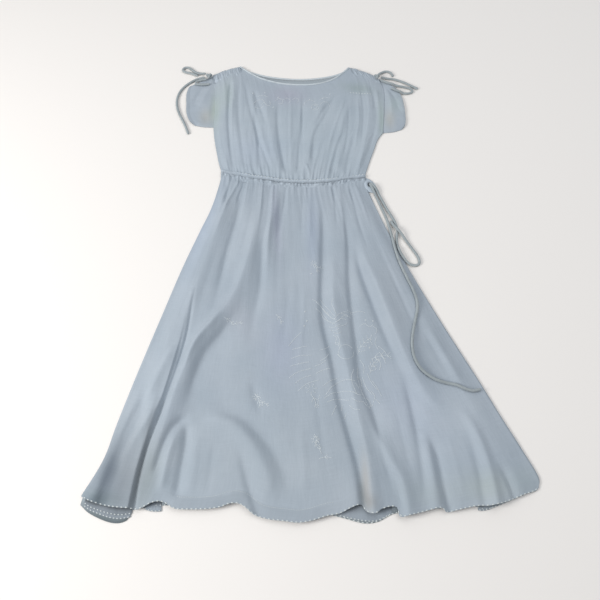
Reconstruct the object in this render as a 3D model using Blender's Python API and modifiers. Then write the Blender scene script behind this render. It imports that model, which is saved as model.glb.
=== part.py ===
"""A drawstring peasant dress, laid out flat with its front up.

Metres. +X is to the right of the front as it lies (the wearer's left), +Y runs from hem to neck, +Z is up.
The back panels lie flat on the surface and the front panels lie on them, with their folds standing up.
"""

import math
from collections import namedtuple

import bmesh
import bpy
import numpy as np
from mathutils import Vector
from mathutils.bvhtree import BVHTree

OBJECT_NAME = "peasant_dress"

# Cloth.
WALL = 0.0012  # thickness of a cloth wall
GAP = 0.0003  # air between two pieces that lie on each other
SEAM = 0.0006  # width left open along a seam between two panels
CLEARANCE = 0.0001  # added to a gap where one piece lies along the whole of another
FRONT_BED = WALL + GAP + CLEARANCE  # height that the front panels rest at

# Widths and heights of the made-up details.
CASING_HALF = 0.0115  # half the width of the waist casing
CASING_RISE = 0.0040  # height that the gathered waist casing puffs up to
GATHER_RISE = 0.0006  # how far a single gather of the waist casing stands up or dips
GATHER_TURN = 2.4  # radians of a gather's wave from one ring of the casing to the next
SHOULDER_CASING_SHARE = 0.62  # depth of a shoulder casing, as a share of the bodice's first row
BINDING_RADIUS = 0.0024  # corded piping of the front neckline
BINDING_WIDTH = 0.0050  # flat binding of the back neckline
CORD_RADIUS = 0.0028  # waist drawstring, a sewn tube
TIE_RADIUS = 0.0027  # shoulder ties, sewn tubes
SLEEVE_LIFT = 0.0042  # outer height of a flattened sleeve

# How folds die away.
FOLD_SHARPNESS = 1.7  # 2 is a round bell; less makes the crest narrower
SETTLE = 0.0012  # how softly a trough bottoms out on the back panel
EDGE_SHARE = 0.06  # share of the width over which folds rise from a side edge
TOP_EASE = 0.2  # share of the length over which folds rise from a gathered top edge

# How finely each shape is divided.
SKIRT_ACROSS, SKIRT_DOWN = 50, 27
BODICE_SHOULDER, BODICE_NECK = 5, 24
ARMHOLE_STEPS, SIDE_STEPS = 6, 6
CASING_ALONG, CASING_ROUND = 56, 4
SLEEVE_ALONG = 5
CURVE_STEPS = 12
CORD_SPACING = 2.4  # cord diameters from one point of a cord to the next
KNOT_SEGMENTS, KNOT_RINGS = 12, 8

# Outlines: rows of x, y, in order along each edge. Left and right here are as the dress lies, seen from above
# with the neck away; the pieces are named for the wearer's sides, which are the other way round.
WAIST = ((-0.213, 0.227), (-0.122, 0.2095), (-0.029, 0.197), (0.054, 0.2005), (0.141, 0.214))
SHOULDER_LEFT = ((-0.251, 0.548), (-0.220, 0.5635), (-0.181, 0.578))
SHOULDER_RIGHT = ((0.112, 0.575), (0.146, 0.562), (0.180, 0.545))
NECK_FRONT = (
    (-0.181, 0.578),
    (-0.150, 0.554),
    (-0.118, 0.535),
    (-0.070, 0.520),
    (-0.020, 0.515),
    (0.030, 0.519),
    (0.068, 0.534),
    (0.091, 0.553),
    (0.112, 0.575),
)
NECK_BACK = (
    (-0.181, 0.578),
    (-0.150, 0.5625),
    (-0.100, 0.547),
    (-0.020, 0.5385),
    (0.050, 0.546),
    (0.088, 0.559),
    (0.112, 0.575),
)
ARMHOLE_LEFT = ((-0.251, 0.548), (-0.243, 0.495), (-0.239, 0.434), (-0.240, 0.376))
ARMHOLE_RIGHT = ((0.180, 0.545), (0.199, 0.508), (0.198, 0.434), (0.191, 0.358))
SIDE_LEFT = ((-0.240, 0.376), (-0.235, 0.337), (-0.228, 0.300), (-0.220, 0.263), (-0.213, 0.240))
SIDE_RIGHT = ((0.191, 0.358), (0.177, 0.337), (0.166, 0.306), (0.152, 0.266), (0.140, 0.228))
SKIRT_LEFT = (
    (-0.213, 0.214),
    (-0.231, 0.132),
    (-0.254, 0.068),
    (-0.289, -0.033),
    (-0.3215, -0.140),
    (-0.3665, -0.290),
    (-0.395, -0.393),
    (-0.412, -0.460),
    (-0.447, -0.533),
)
SKIRT_RIGHT = (
    (0.140, 0.200),
    (0.167, 0.119),
    (0.193, 0.052),
    (0.2455, -0.069),
    (0.298, -0.179),
    (0.3595, -0.302),
    (0.3955, -0.378),
    (0.4265, -0.440),
    (0.453, -0.500),
    (0.450, -0.5245),
)
HEM_FRONT = (
    (-0.447, -0.533),
    (-0.419, -0.549),
    (-0.379, -0.5595),
    (-0.342, -0.564),
    (-0.288, -0.559),
    (-0.262, -0.557),
    (-0.207, -0.563),
    (-0.179, -0.557),
    (-0.140, -0.550),
    (-0.112, -0.566),
    (-0.085, -0.577),
    (-0.026, -0.584),
    (0.010, -0.578),
    (0.054, -0.569),
    (0.081, -0.5695),
    (0.108, -0.577),
    (0.133, -0.5765),
    (0.157, -0.571),
    (0.173, -0.575),
    (0.209, -0.572),
    (0.260, -0.566),
    (0.326, -0.558),
    (0.364, -0.556),
    (0.398, -0.546),
    (0.450, -0.5245),
)
HEM_BACK = (
    (-0.447, -0.549),
    (-0.427, -0.565),
    (-0.376, -0.583),
    (-0.350, -0.579),
    (-0.330, -0.560),
    (-0.260, -0.549),
    (-0.150, -0.544),
    (-0.080, -0.564),
    (0.020, -0.565),
    (0.058, -0.572),
    (0.108, -0.5835),
    (0.133, -0.5795),
    (0.160, -0.566),
    (0.260, -0.558),
    (0.330, -0.5605),
    (0.360, -0.547),
    (0.450, -0.5245),
)
SLEEVE_LEFT_TOP = ((-0.251, 0.548), (-0.284, 0.528), (-0.310, 0.5115))
SLEEVE_LEFT_CUFF = (
    (-0.310, 0.5115),
    (-0.316, 0.487),
    (-0.314, 0.450),
    (-0.311, 0.418),
    (-0.301, 0.395),
    (-0.288, 0.382),
)
SLEEVE_LEFT_UNDER = ((-0.240, 0.376), (-0.264, 0.377), (-0.288, 0.382))
SLEEVE_RIGHT_TOP = ((0.180, 0.545), (0.208, 0.527), (0.231, 0.508))
SLEEVE_RIGHT_CUFF = (
    (0.231, 0.508),
    (0.245, 0.477),
    (0.250, 0.441),
    (0.251, 0.405),
    (0.248, 0.382),
    (0.240, 0.369),
)
SLEEVE_RIGHT_UNDER = ((0.191, 0.358), (0.217, 0.361), (0.240, 0.369))

# Folds of a front panel. height is below zero for a trough; left and right are its widths on either side of
# its route; lean is how far its crest leans to the right, as a share of its height; rising and sinking are
# the shares of its length over which it comes up at its start and dies away at its end; route is x, y.
Fold = namedtuple("Fold", "height left right lean rising sinking route")
SKIRT_FOLDS = (
    Fold(-0.006, 0.010, 0.012, 0.0, 0.2, 0.5, ((-0.192, 0.205), (-0.197, 0.135))),
    Fold(-0.010, 0.016, 0.020, 0.0, 0.1, 0.5, (
        (-0.155, 0.195), (-0.168, 0.096), (-0.187, 0.007), (-0.216, -0.160),
    )),
    Fold(0.010, 0.018, 0.020, 0.0, 0.2, 0.4, (
        (-0.200, 0.190), (-0.222, 0.090), (-0.258, -0.030), (-0.285, -0.150),
    )),
    Fold(0.013, 0.020, 0.026, 0.0, 0.2, 0.3, (
        (-0.120, 0.160), (-0.132, 0.041), (-0.155, -0.070), (-0.190, -0.144), (-0.236, -0.205),
        (-0.262, -0.290), (-0.286, -0.390), (-0.312, -0.520),
    )),
    Fold(-0.012, 0.016, 0.030, 0.0, 0.3, 0.5, (
        (-0.150, -0.130), (-0.199, -0.207), (-0.233, -0.250), (-0.247, -0.310), (-0.257, -0.385),
    )),
    Fold(-0.010, 0.022, 0.016, 0.0, 0.3, 0.5, (
        (-0.105, 0.060), (-0.109, -0.080), (-0.122, -0.161), (-0.135, -0.250),
    )),
    Fold(0.008, 0.012, 0.018, 0.0, 0.1, 0.5, (
        (-0.085, 0.190), (-0.084, 0.115), (-0.094, 0.041), (-0.094, -0.100),
    )),
    Fold(-0.006, 0.010, 0.014, 0.0, 0.1, 0.5, ((-0.062, 0.192), (-0.071, 0.096), (-0.071, 0.030))),
    Fold(0.014, 0.030, 0.014, 0.3, 0.4, 0.0, (
        (-0.275, -0.140), (-0.290, -0.230), (-0.318, -0.340), (-0.347, -0.440), (-0.362, -0.570),
    )),
    Fold(-0.012, 0.008, 0.012, 0.0, 0.4, 0.0, (
        (-0.254, -0.080), (-0.266, -0.190), (-0.284, -0.276), (-0.305, -0.356), (-0.330, -0.440),
        (-0.342, -0.570),
    )),
    Fold(0.009, 0.020, 0.020, 0.0, 0.3, 0.2, ((-0.300, -0.320), (-0.344, -0.404), (-0.395, -0.500))),
    Fold(-0.008, 0.014, 0.014, 0.0, 0.2, 0.2, (
        (-0.250, -0.374), (-0.280, -0.398), (-0.297, -0.438), (-0.312, -0.500),
    )),
    Fold(-0.007, 0.012, 0.014, 0.0, 0.2, 0.2, (
        (-0.253, -0.380), (-0.255, -0.438), (-0.262, -0.497), (-0.268, -0.545),
    )),
    Fold(0.012, 0.024, 0.012, 0.0, 0.2, 0.2, (
        (-0.212, -0.378), (-0.168, -0.386), (-0.127, -0.420), (-0.099, -0.462), (-0.079, -0.540),
    )),
    Fold(-0.008, 0.012, 0.026, 0.0, 0.2, 0.3, (
        (-0.195, -0.368), (-0.138, -0.378), (-0.093, -0.418), (-0.060, -0.470), (-0.040, -0.530),
    )),
    Fold(-0.009, 0.010, 0.020, 0.0, 0.4, 0.0, ((-0.138, -0.450), (-0.122, -0.510), (-0.108, -0.570))),
    Fold(-0.011, 0.018, 0.014, 0.0, 0.2, 0.0, (
        (0.033, 0.170), (0.034, 0.041), (0.030, -0.080), (0.031, -0.161), (0.049, -0.253),
        (0.063, -0.341), (0.082, -0.418), (0.098, -0.489), (0.105, -0.580),
    )),
    Fold(0.010, 0.012, 0.024, -0.3, 0.3, 0.0, (
        (0.058, 0.050), (0.056, -0.100), (0.063, -0.180), (0.082, -0.276), (0.100, -0.368),
        (0.118, -0.460), (0.128, -0.580),
    )),
    Fold(-0.008, 0.012, 0.014, 0.0, 0.2, 0.3, (
        (0.078, 0.170), (0.092, 0.041), (0.091, -0.080), (0.099, -0.201), (0.108, -0.298),
        (0.130, -0.368), (0.150, -0.450), (0.168, -0.570),
    )),
    Fold(0.009, 0.012, 0.028, 0.0, 0.3, 0.3, (
        (0.118, 0.060), (0.135, -0.020), (0.158, -0.100), (0.186, -0.190), (0.216, -0.280),
        (0.252, -0.345), (0.300, -0.385),
    )),
    Fold(0.009, 0.012, 0.020, 0.0, 0.3, 0.0, (
        (0.132, -0.390), (0.156, -0.460), (0.180, -0.510), (0.190, -0.570),
    )),
    Fold(-0.006, 0.014, 0.016, 0.0, 0.3, 0.3, (
        (0.195, -0.270), (0.212, -0.360), (0.222, -0.450), (0.228, -0.560),
    )),
    Fold(0.007, 0.016, 0.016, 0.0, 0.4, 0.0, ((0.236, -0.390), (0.256, -0.480), (0.266, -0.565))),
    Fold(-0.006, 0.012, 0.018, 0.0, 0.4, 0.0, ((0.262, -0.400), (0.284, -0.490), (0.294, -0.560))),
    Fold(0.008, 0.020, 0.014, 0.0, 0.4, 0.0, (
        (0.296, -0.350), (0.328, -0.410), (0.352, -0.480), (0.362, -0.555),
    )),
    Fold(-0.005, 0.008, 0.012, 0.0, 0.5, 0.0, ((0.372, -0.460), (0.388, -0.505), (0.398, -0.545))),
)
BODICE_FOLDS = (
    Fold(-0.005, 0.007, 0.010, 0.0, 0.1, 0.0, (
        (-0.211, 0.530), (-0.210, 0.400), (-0.196, 0.300), (-0.186, 0.240),
    )),
    Fold(0.004, 0.010, 0.010, 0.0, 0.1, 0.0, (
        (-0.190, 0.550), (-0.186, 0.420), (-0.168, 0.320), (-0.156, 0.235),
    )),
    Fold(-0.004, 0.010, 0.012, 0.0, 0.2, 0.1, (
        (-0.172, 0.520), (-0.150, 0.440), (-0.126, 0.350), (-0.090, 0.235),
    )),
    Fold(0.004, 0.012, 0.014, 0.0, 0.2, 0.1, (
        (-0.140, 0.500), (-0.112, 0.400), (-0.084, 0.300), (-0.070, 0.225),
    )),
    Fold(-0.006, 0.008, 0.012, 0.0, 0.1, 0.1, (
        (-0.078, 0.500), (-0.077, 0.400), (-0.070, 0.320), (-0.052, 0.225),
    )),
    Fold(0.003, 0.012, 0.012, 0.0, 0.2, 0.1, ((-0.045, 0.500), (-0.044, 0.380), (-0.036, 0.230))),
    Fold(-0.005, 0.010, 0.010, 0.0, 0.1, 0.1, ((-0.012, 0.500), (-0.016, 0.360), (-0.024, 0.230))),
    Fold(0.004, 0.014, 0.012, 0.0, 0.2, 0.1, (
        (0.045, 0.470), (0.020, 0.380), (0.004, 0.300), (0.010, 0.230),
    )),
    Fold(-0.004, 0.010, 0.012, 0.0, 0.2, 0.1, (
        (0.078, 0.490), (0.045, 0.410), (0.022, 0.340), (0.026, 0.235),
    )),
    Fold(0.004, 0.012, 0.012, 0.0, 0.2, 0.1, ((0.108, 0.460), (0.078, 0.360), (0.060, 0.235))),
    Fold(-0.004, 0.010, 0.010, 0.0, 0.3, 0.1, ((0.112, 0.360), (0.090, 0.300), (0.080, 0.235))),
    Fold(0.004, 0.010, 0.010, 0.0, 0.1, 0.1, (
        (0.140, 0.540), (0.142, 0.420), (0.122, 0.310), (0.108, 0.235),
    )),
    Fold(-0.005, 0.008, 0.008, 0.0, 0.1, 0.1, (
        (0.166, 0.520), (0.172, 0.410), (0.150, 0.300), (0.124, 0.235),
    )),
)
SKIRT_LOFT = 0.0075  # how high the middle of the front skirt stands off the back
BODICE_LOFT = 0.0045
BODICE_TOP_SHARE = 0.3  # how much of the bodice's loft is left at its top edge

# Cords: routes as x, y and height above what lies beneath.
WAIST_LONG = (
    (0.1485, 0.2075, 0.0010),
    (0.1580, 0.1810, 0.0),
    (0.1665, 0.1575, 0.0),
    (0.1745, 0.1340, 0.0),
    (0.1835, 0.1080, 0.0),
    (0.1900, 0.0810, 0.0),
    (0.1950, 0.0520, 0.0),
    (0.1990, 0.0240, 0.0),
    (0.2045, -0.0050, 0.0),
    (0.2140, -0.0365, 0.0),
    (0.2240, -0.0630, 0.0),
    (0.2350, -0.0940, 0.0),
    (0.2395, -0.1185, 0.0),
    (0.2380, -0.1395, 0.0),
    (0.2305, -0.1680, 0.0),
    (0.2235, -0.1960, 0.0),
    (0.2195, -0.2265, 0.0),
    (0.2225, -0.2540, 0.0),
    (0.2345, -0.2775, 0.0),
    (0.2560, -0.2945, 0.0),
    (0.2790, -0.3035, 0.0),
    (0.3070, -0.3100, 0.0),
    (0.3270, -0.3190, 0.0),
    (0.3420, -0.3215, 0.0),
    (0.3580, -0.3175, 0.0),
)
WAIST_LOOP = (
    (0.1550, 0.2090, 0.0010),
    (0.1650, 0.1855, 0.0),
    (0.1740, 0.1625, 0.0),
    (0.1830, 0.1400, 0.0),
    (0.1925, 0.1190, 0.0),
    (0.2015, 0.1000, 0.0),
    (0.2070, 0.0830, 0.0),
    (0.2085, 0.0675, 0.0),
    (0.2062, 0.0530, 0.0),
    (0.2055, 0.0375, 0.0),
    (0.2085, 0.0205, 0.0),
    (0.2145, 0.0035, 0.0),
    (0.2235, -0.0110, 0.0),
    (0.2340, -0.0205, 0.0),
    (0.2460, -0.0225, 0.0),
    (0.2535, -0.0165, 0.0),
    (0.2530, -0.0045, 0.0),
    (0.2470, 0.0090, 0.0),
    (0.2365, 0.0270, 0.0),
    (0.2255, 0.0455, 0.0010),
    (0.2160, 0.0600, 0.0050),
    (0.2068, 0.0725, 0.0062),
    (0.1995, 0.0850, 0.0020),
    (0.1950, 0.0970, 0.0),
)
TIE_RIGHT_LOOP = (
    (-0.2700, 0.5520, 0.0040),
    (-0.2818, 0.5540, 0.0010),
    (-0.2972, 0.5590, 0.0),
    (-0.3090, 0.5690, 0.0),
    (-0.3193, 0.5765, 0.0),
    (-0.3292, 0.5740, 0.0),
    (-0.3320, 0.5665, 0.0),
    (-0.3252, 0.5605, 0.0),
    (-0.3098, 0.5560, 0.0),
    (-0.2900, 0.5470, 0.0005),
)
TIE_RIGHT_TAIL = (
    (-0.2720, 0.5400, 0.0020),
    (-0.2887, 0.5368, 0.0),
    (-0.3073, 0.5250, 0.0),
    (-0.3240, 0.5087, 0.0),
    (-0.3354, 0.4883, 0.0),
    (-0.3396, 0.4646, 0.0),
    (-0.3370, 0.4403, 0.0),
    (-0.3283, 0.4147, 0.0),
    (-0.3150, 0.3876, 0.0),
    (-0.3018, 0.3536, 0.0),
)
TIE_RIGHT_SHORT = (
    (-0.2660, 0.5305, 0.0015),
    (-0.2780, 0.5295, 0.0),
    (-0.2916, 0.5235, 0.0),
    (-0.2930, 0.5156, 0.0),
    (-0.2786, 0.5135, 0.0),
    (-0.2570, 0.5160, 0.0),
)
TIE_LEFT_LOOP = (
    (0.1890, 0.5495, 0.0035),
    (0.1960, 0.5560, 0.0015),
    (0.2082, 0.5625, 0.0),
    (0.2205, 0.5590, 0.0),
    (0.2280, 0.5450, 0.0),
)
TIE_LEFT_TAIL = (
    (0.1950, 0.5400, 0.0025),
    (0.2083, 0.5385, 0.0),
    (0.2325, 0.5340, 0.0),
    (0.2565, 0.5230, 0.0),
    (0.2765, 0.5105, 0.0),
    (0.2905, 0.5020, 0.0),
)
TIE_LEFT_SHORT = (
    (0.1920, 0.5300, 0.0020),
    (0.2069, 0.5210, 0.0),
    (0.2305, 0.5140, 0.0),
    (0.2541, 0.5085, 0.0),
    (0.2728, 0.5010, 0.0),
    (0.2748, 0.4926, 0.0),
    (0.2663, 0.4873, 0.0),
    (0.2493, 0.4874, 0.0),
    (0.2327, 0.4934, 0.0),
    (0.2196, 0.5014, 0.0),
)
KNOTS = {
    # name: centre x, y, z and half lengths
    "tie_knot_right": ((-0.2600, 0.5400, 0.0104), (0.0085, 0.0060, 0.0056)),
    "tie_knot_left": ((0.1835, 0.5385, 0.0104), (0.0070, 0.0060, 0.0056)),
}

ROUGHNESS = 0.85
COLOURS = {
    "cloth": (0.36, 0.41, 0.46),
    "inside": (0.33, 0.38, 0.42),
    "cord": (0.34, 0.39, 0.43),
    "binding": (0.42, 0.47, 0.50),
}


# ---- curves and patches


def smooth(points, count):
    """That many evenly spaced points along a smooth curve through the given ones."""
    given = np.array(points, float)
    spread = np.vstack([2 * given[0] - given[1], given, 2 * given[-1] - given[-2]])
    knots = np.concatenate([[0], np.cumsum(np.linalg.norm(np.diff(spread, axis=0), axis=1) ** 0.5)])
    found = [given[:1]]
    for i in range(1, len(spread) - 2):
        p0, p1, p2, p3 = spread[i - 1 : i + 3]
        t0, t1, t2, t3 = knots[i - 1 : i + 3]
        t = np.linspace(t1, t2, CURVE_STEPS + 1)[1:, None]
        a1 = ((t1 - t) * p0 + (t - t0) * p1) / (t1 - t0)
        a2 = ((t2 - t) * p1 + (t - t1) * p2) / (t2 - t1)
        a3 = ((t3 - t) * p2 + (t - t2) * p3) / (t3 - t2)
        b1 = ((t2 - t) * a1 + (t - t0) * a2) / (t2 - t0)
        b2 = ((t3 - t) * a2 + (t - t1) * a3) / (t3 - t1)
        found.append(((t2 - t) * b1 + (t - t1) * b2) / (t2 - t1))
    dense = np.vstack(found)
    along = np.concatenate([[0], np.cumsum(np.linalg.norm(np.diff(dense, axis=0), axis=1))])
    wanted = np.linspace(0, along[-1], count)
    return np.stack([np.interp(wanted, along, dense[:, k]) for k in range(dense.shape[1])], axis=1)


def length_of(points):
    return float(np.linalg.norm(np.diff(np.array(points, float), axis=0), axis=1).sum())


def chain(*runs):
    """Runs of points joined end to end, without the doubled ends."""
    return np.vstack([runs[0]] + [run[1:] for run in runs[1:]])


def raised(points, dy):
    """Points moved towards the neck."""
    return np.array(points, float) + (0, dy)


def beside(points, distance):
    """A curve's points moved to its left-hand side; to its right-hand side where distance is below zero."""
    along = np.gradient(np.array(points, float), axis=0)
    along /= np.linalg.norm(along, axis=1)[:, None]
    return points + distance * np.stack([-along[:, 1], along[:, 0]], axis=1)


def patch(top, bottom, left, right):
    """A grid of x, y between four edges, rows running from the top edge to the bottom one."""
    u = np.linspace(0, 1, len(top))[None, :, None]
    v = np.linspace(0, 1, len(left))[:, None, None]
    across = (1 - v) * top[None] + v * bottom[None]
    down = (1 - u) * left[:, None] + u * right[:, None]
    corners = (1 - v) * ((1 - u) * top[0] + u * top[-1]) + v * ((1 - u) * bottom[0] + u * bottom[-1])
    return across + down - corners


def ease(t):
    t = np.clip(t, 0, 1)
    return t * t * (3 - 2 * t)


def nearest(grid, route):
    """For each x, y of a grid: its distance to a route, above zero on the route's left-hand side, and the share
    of the route's length at which it is nearest."""
    start, step = route[:-1], np.diff(route, axis=0)
    size = np.linalg.norm(step, axis=1)
    along = np.concatenate([[0], np.cumsum(size)])
    offset = grid[..., None, :] - start
    t = np.clip((offset * step).sum(-1) / size**2, 0, 1)
    apart = offset - t[..., None] * step
    distance = np.linalg.norm(apart, axis=-1)
    pick = distance.argmin(-1)[..., None]
    side = np.take_along_axis(step[:, 0] * apart[..., 1] - step[:, 1] * apart[..., 0], pick, -1)[..., 0]
    share = np.take_along_axis((along[:-1] + t * size) / along[-1], pick, -1)[..., 0]
    return np.take_along_axis(distance, pick, -1)[..., 0] * np.where(side < 0, -1.0, 1.0), share


def folded(grid, folds, loft, top_share=1.0):
    """The grid with its folds: heights added to x, y, and crests moved over where they lean.
    The heights ease down to nothing at the side edges, and to top_share at the top edge."""
    u = np.linspace(0, 1, grid.shape[1])[None, :]
    v = np.linspace(0, 1, grid.shape[0])[:, None]
    height = np.full(grid.shape[:2], loft)
    lean = np.zeros(grid.shape)
    for fold in folds:
        distance, share = nearest(grid, smooth(fold.route, 3 * len(fold.route)))
        width = np.where(distance > 0, fold.right, fold.left)
        bell = fold.height * np.exp(-np.abs(distance / width) ** FOLD_SHARPNESS)
        if fold.rising:
            bell = bell * ease(share / fold.rising)
        if fold.sinking:
            bell = bell * ease((1 - share) / fold.sinking)
        height = height + bell
        lean[..., 0] += fold.lean * bell
    height = SETTLE * np.logaddexp(0, height / SETTLE)
    edge = ease(np.minimum(u, 1 - u) / EDGE_SHARE) * (top_share + (1 - top_share) * ease(v / TOP_EASE))
    plan = grid + lean * edge[..., None]
    return np.concatenate([plan, (FRONT_BED + height * edge)[..., None]], axis=-1)


# ---- objects


def material(name, colour):
    made = bpy.data.materials.get(name)
    if made is None:
        made = bpy.data.materials.new(name)
        made.use_nodes = True
        shader = made.node_tree.nodes["Principled BSDF"]
        shader.inputs["Base Color"].default_value = (*colour, 1)
        shader.inputs["Roughness"].default_value = ROUGHNESS
        shader.inputs["Metallic"].default_value = 0.0
    return made


def add(collection, name, data, colour):
    made = bpy.data.objects.new(name, data)
    collection.objects.link(made)
    data.materials.append(material(name + "_cloth", COLOURS[colour]))
    return made


def grid_mesh(name, points, around=False):
    """An open surface over a grid of points, facing up. With around, each row closes on itself."""
    rows, columns = points.shape[:2]
    index = np.arange(rows * columns).reshape(rows, columns)
    following = np.roll(index, -1, axis=1)
    last = columns if around else columns - 1
    faces = [
        (index[r + 1, c], following[r + 1, c], following[r, c], index[r, c])
        for r in range(rows - 1)
        for c in range(last)
    ]
    mesh = bpy.data.meshes.new(name)
    mesh.from_pydata(points.reshape(-1, 3).tolist(), [], [tuple(int(i) for i in f) for f in faces])
    mesh.update()
    return mesh


def shell(collection, name, points, colour, around=False, offset=1.0, wall=WALL):
    """A cloth wall: a surface with thickness on its upper side (offset 1) or on both (offset 0)."""
    made = add(collection, name, grid_mesh(name, points, around), colour)
    wrap = made.modifiers.new("cloth wall", "SOLIDIFY")
    wrap.thickness = wall
    wrap.offset = offset
    wrap.use_even_offset = True
    return made


def flat_panel(collection, name, outline, colour):
    """A cloth wall lying on the surface: a closed outline, extruded up from z = 0."""
    data = bpy.data.curves.new(name, "CURVE")
    data.dimensions = "2D"
    data.fill_mode = "BOTH"
    data.extrude = WALL / 2
    spline = data.splines.new("POLY")
    spline.points.add(len(outline) - 1)
    for point, (x, y) in zip(spline.points, outline):
        point.co = (x, y, 0, 1)
    spline.use_cyclic_u = True
    made = add(collection, name, data, colour)
    made.location.z = WALL / 2
    return made


def tube(collection, name, points, radius, colour):
    """A round cord through these points."""
    data = bpy.data.curves.new(name, "CURVE")
    data.dimensions = "3D"
    data.bevel_depth = radius
    data.bevel_resolution = 2
    data.use_fill_caps = True
    spline = data.splines.new("POLY")
    spline.points.add(len(points) - 1)
    for point, (x, y, z) in zip(spline.points, points):
        point.co = (x, y, z, 1)
    return add(collection, name, data, colour)


def knot(collection, name, centre, half):
    mesh = bpy.data.meshes.new(name)
    ball = bmesh.new()
    bmesh.ops.create_uvsphere(ball, u_segments=KNOT_SEGMENTS, v_segments=KNOT_RINGS, radius=1.0)
    ball.to_mesh(mesh)
    ball.free()
    made = add(collection, name, mesh, "cord")
    made.scale = half
    made.location = centre


# ---- the pieces


def bodice_edges():
    """Top, bottom, left and right edges of the bodice front as it lies."""
    across = 2 * BODICE_SHOULDER + BODICE_NECK + 1
    neck = beside(smooth(NECK_FRONT, BODICE_NECK + 1), -BINDING_RADIUS - SEAM)
    shoulders = smooth(SHOULDER_LEFT, BODICE_SHOULDER + 1), smooth(SHOULDER_RIGHT, BODICE_SHOULDER + 1)
    top = np.vstack([shoulders[0][:-1], neck, shoulders[1][1:]])
    bottom = smooth(raised(WAIST, CASING_HALF + SEAM), across)
    left = chain(smooth(ARMHOLE_LEFT, ARMHOLE_STEPS + 1), smooth(SIDE_LEFT, SIDE_STEPS + 1))
    right = chain(smooth(ARMHOLE_RIGHT, ARMHOLE_STEPS + 1), smooth(SIDE_RIGHT, SIDE_STEPS + 1))
    left[-1], right[-1] = bottom[0], bottom[-1]
    return top, bottom, left, right


def skirt_edges():
    top = smooth(raised(WAIST, -CASING_HALF - SEAM), SKIRT_ACROSS + 1)
    bottom = smooth(HEM_FRONT, SKIRT_ACROSS + 1)
    left = smooth(SKIRT_LEFT, SKIRT_DOWN + 1)
    right = smooth(SKIRT_RIGHT, SKIRT_DOWN + 1)
    left[0], right[0] = top[0], top[-1]
    return top, bottom, left, right


def make_bodice(collection):
    front = folded(patch(*bodice_edges()), BODICE_FOLDS, BODICE_LOFT, BODICE_TOP_SHARE)
    made = shell(collection, "bodice_front", front, "cloth")
    neck = beside(smooth(NECK_BACK, 17), -BINDING_WIDTH - GAP)
    outline = chain(
        np.vstack([smooth(SHOULDER_LEFT, 4)[:-1], neck, smooth(SHOULDER_RIGHT, 4)[1:]]),
        smooth(ARMHOLE_RIGHT, ARMHOLE_STEPS + 1),
        smooth(SIDE_RIGHT, SIDE_STEPS + 1),
        smooth(raised(WAIST, CASING_HALF + SEAM), 9)[::-1],
        smooth(SIDE_LEFT, SIDE_STEPS + 1)[::-1],
        smooth(ARMHOLE_LEFT, ARMHOLE_STEPS + 1)[::-1],
    )
    flat_panel(collection, "bodice_back", outline, "inside")
    return made, front


def make_neck(collection):
    line = smooth(NECK_FRONT, BODICE_NECK + 1)
    height = np.full((len(line), 1), FRONT_BED + BINDING_RADIUS)
    tube(collection, "neck_binding_front", np.hstack([line, height]), BINDING_RADIUS, "binding")
    upper = smooth(NECK_BACK, 17)
    lower = beside(upper, -BINDING_WIDTH)
    flat_panel(collection, "neck_binding_back", np.vstack([upper, lower[::-1]]), "binding")


def make_shoulder_casings(collection, bodice, points):
    """The gathered channels: the bodice's own points beside each shoulder edge, moved out."""
    normals = np.array([v.normal for v in bodice.data.vertices]).reshape(points.shape)
    out = points + normals * (WALL + GAP)
    channel = np.stack([out[0], out[0] + SHOULDER_CASING_SHARE * (out[1] - out[0])])
    shell(collection, "shoulder_casing_right", channel[:, : BODICE_SHOULDER + 1], "cloth")
    shell(collection, "shoulder_casing_left", channel[:, -BODICE_SHOULDER - 1 :], "cloth")


def make_waist(collection):
    """The drawstring channel: a gathered arch over the front, and a flat strip behind."""
    line = smooth(WAIST, CASING_ALONG + 1)
    turns = np.linspace(0, math.pi, CASING_ROUND + 1)
    rows = []
    for turn in turns:
        y = (CASING_HALF - WALL) * math.cos(turn)
        gathers = GATHER_RISE * np.sin(np.arange(CASING_ALONG + 1) * GATHER_TURN)
        z = FRONT_BED + (CASING_RISE + gathers) * math.sin(turn)
        rows.append(np.stack([line[:, 0], line[:, 1] + y, z], axis=1))
    shell(collection, "waist_casing_front", np.array(rows), "cloth")
    upper = smooth(raised(WAIST, CASING_HALF), 9)
    lower = smooth(raised(WAIST, -CASING_HALF), 9)[::-1]
    flat_panel(collection, "waist_casing_back", np.vstack([upper, lower]), "inside")


def make_skirt(collection):
    front = folded(patch(*skirt_edges()), SKIRT_FOLDS, SKIRT_LOFT)
    shell(collection, "skirt_front", front, "cloth")
    left = smooth(SKIRT_LEFT, 12)
    right = smooth(SKIRT_RIGHT, 12)
    top = smooth(raised(WAIST, -CASING_HALF - SEAM), 9)
    hem = smooth(HEM_BACK, 33)
    outline = chain(top, right, hem[::-1], left[::-1])
    flat_panel(collection, "skirt_back", outline[:-1], "inside")


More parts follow.
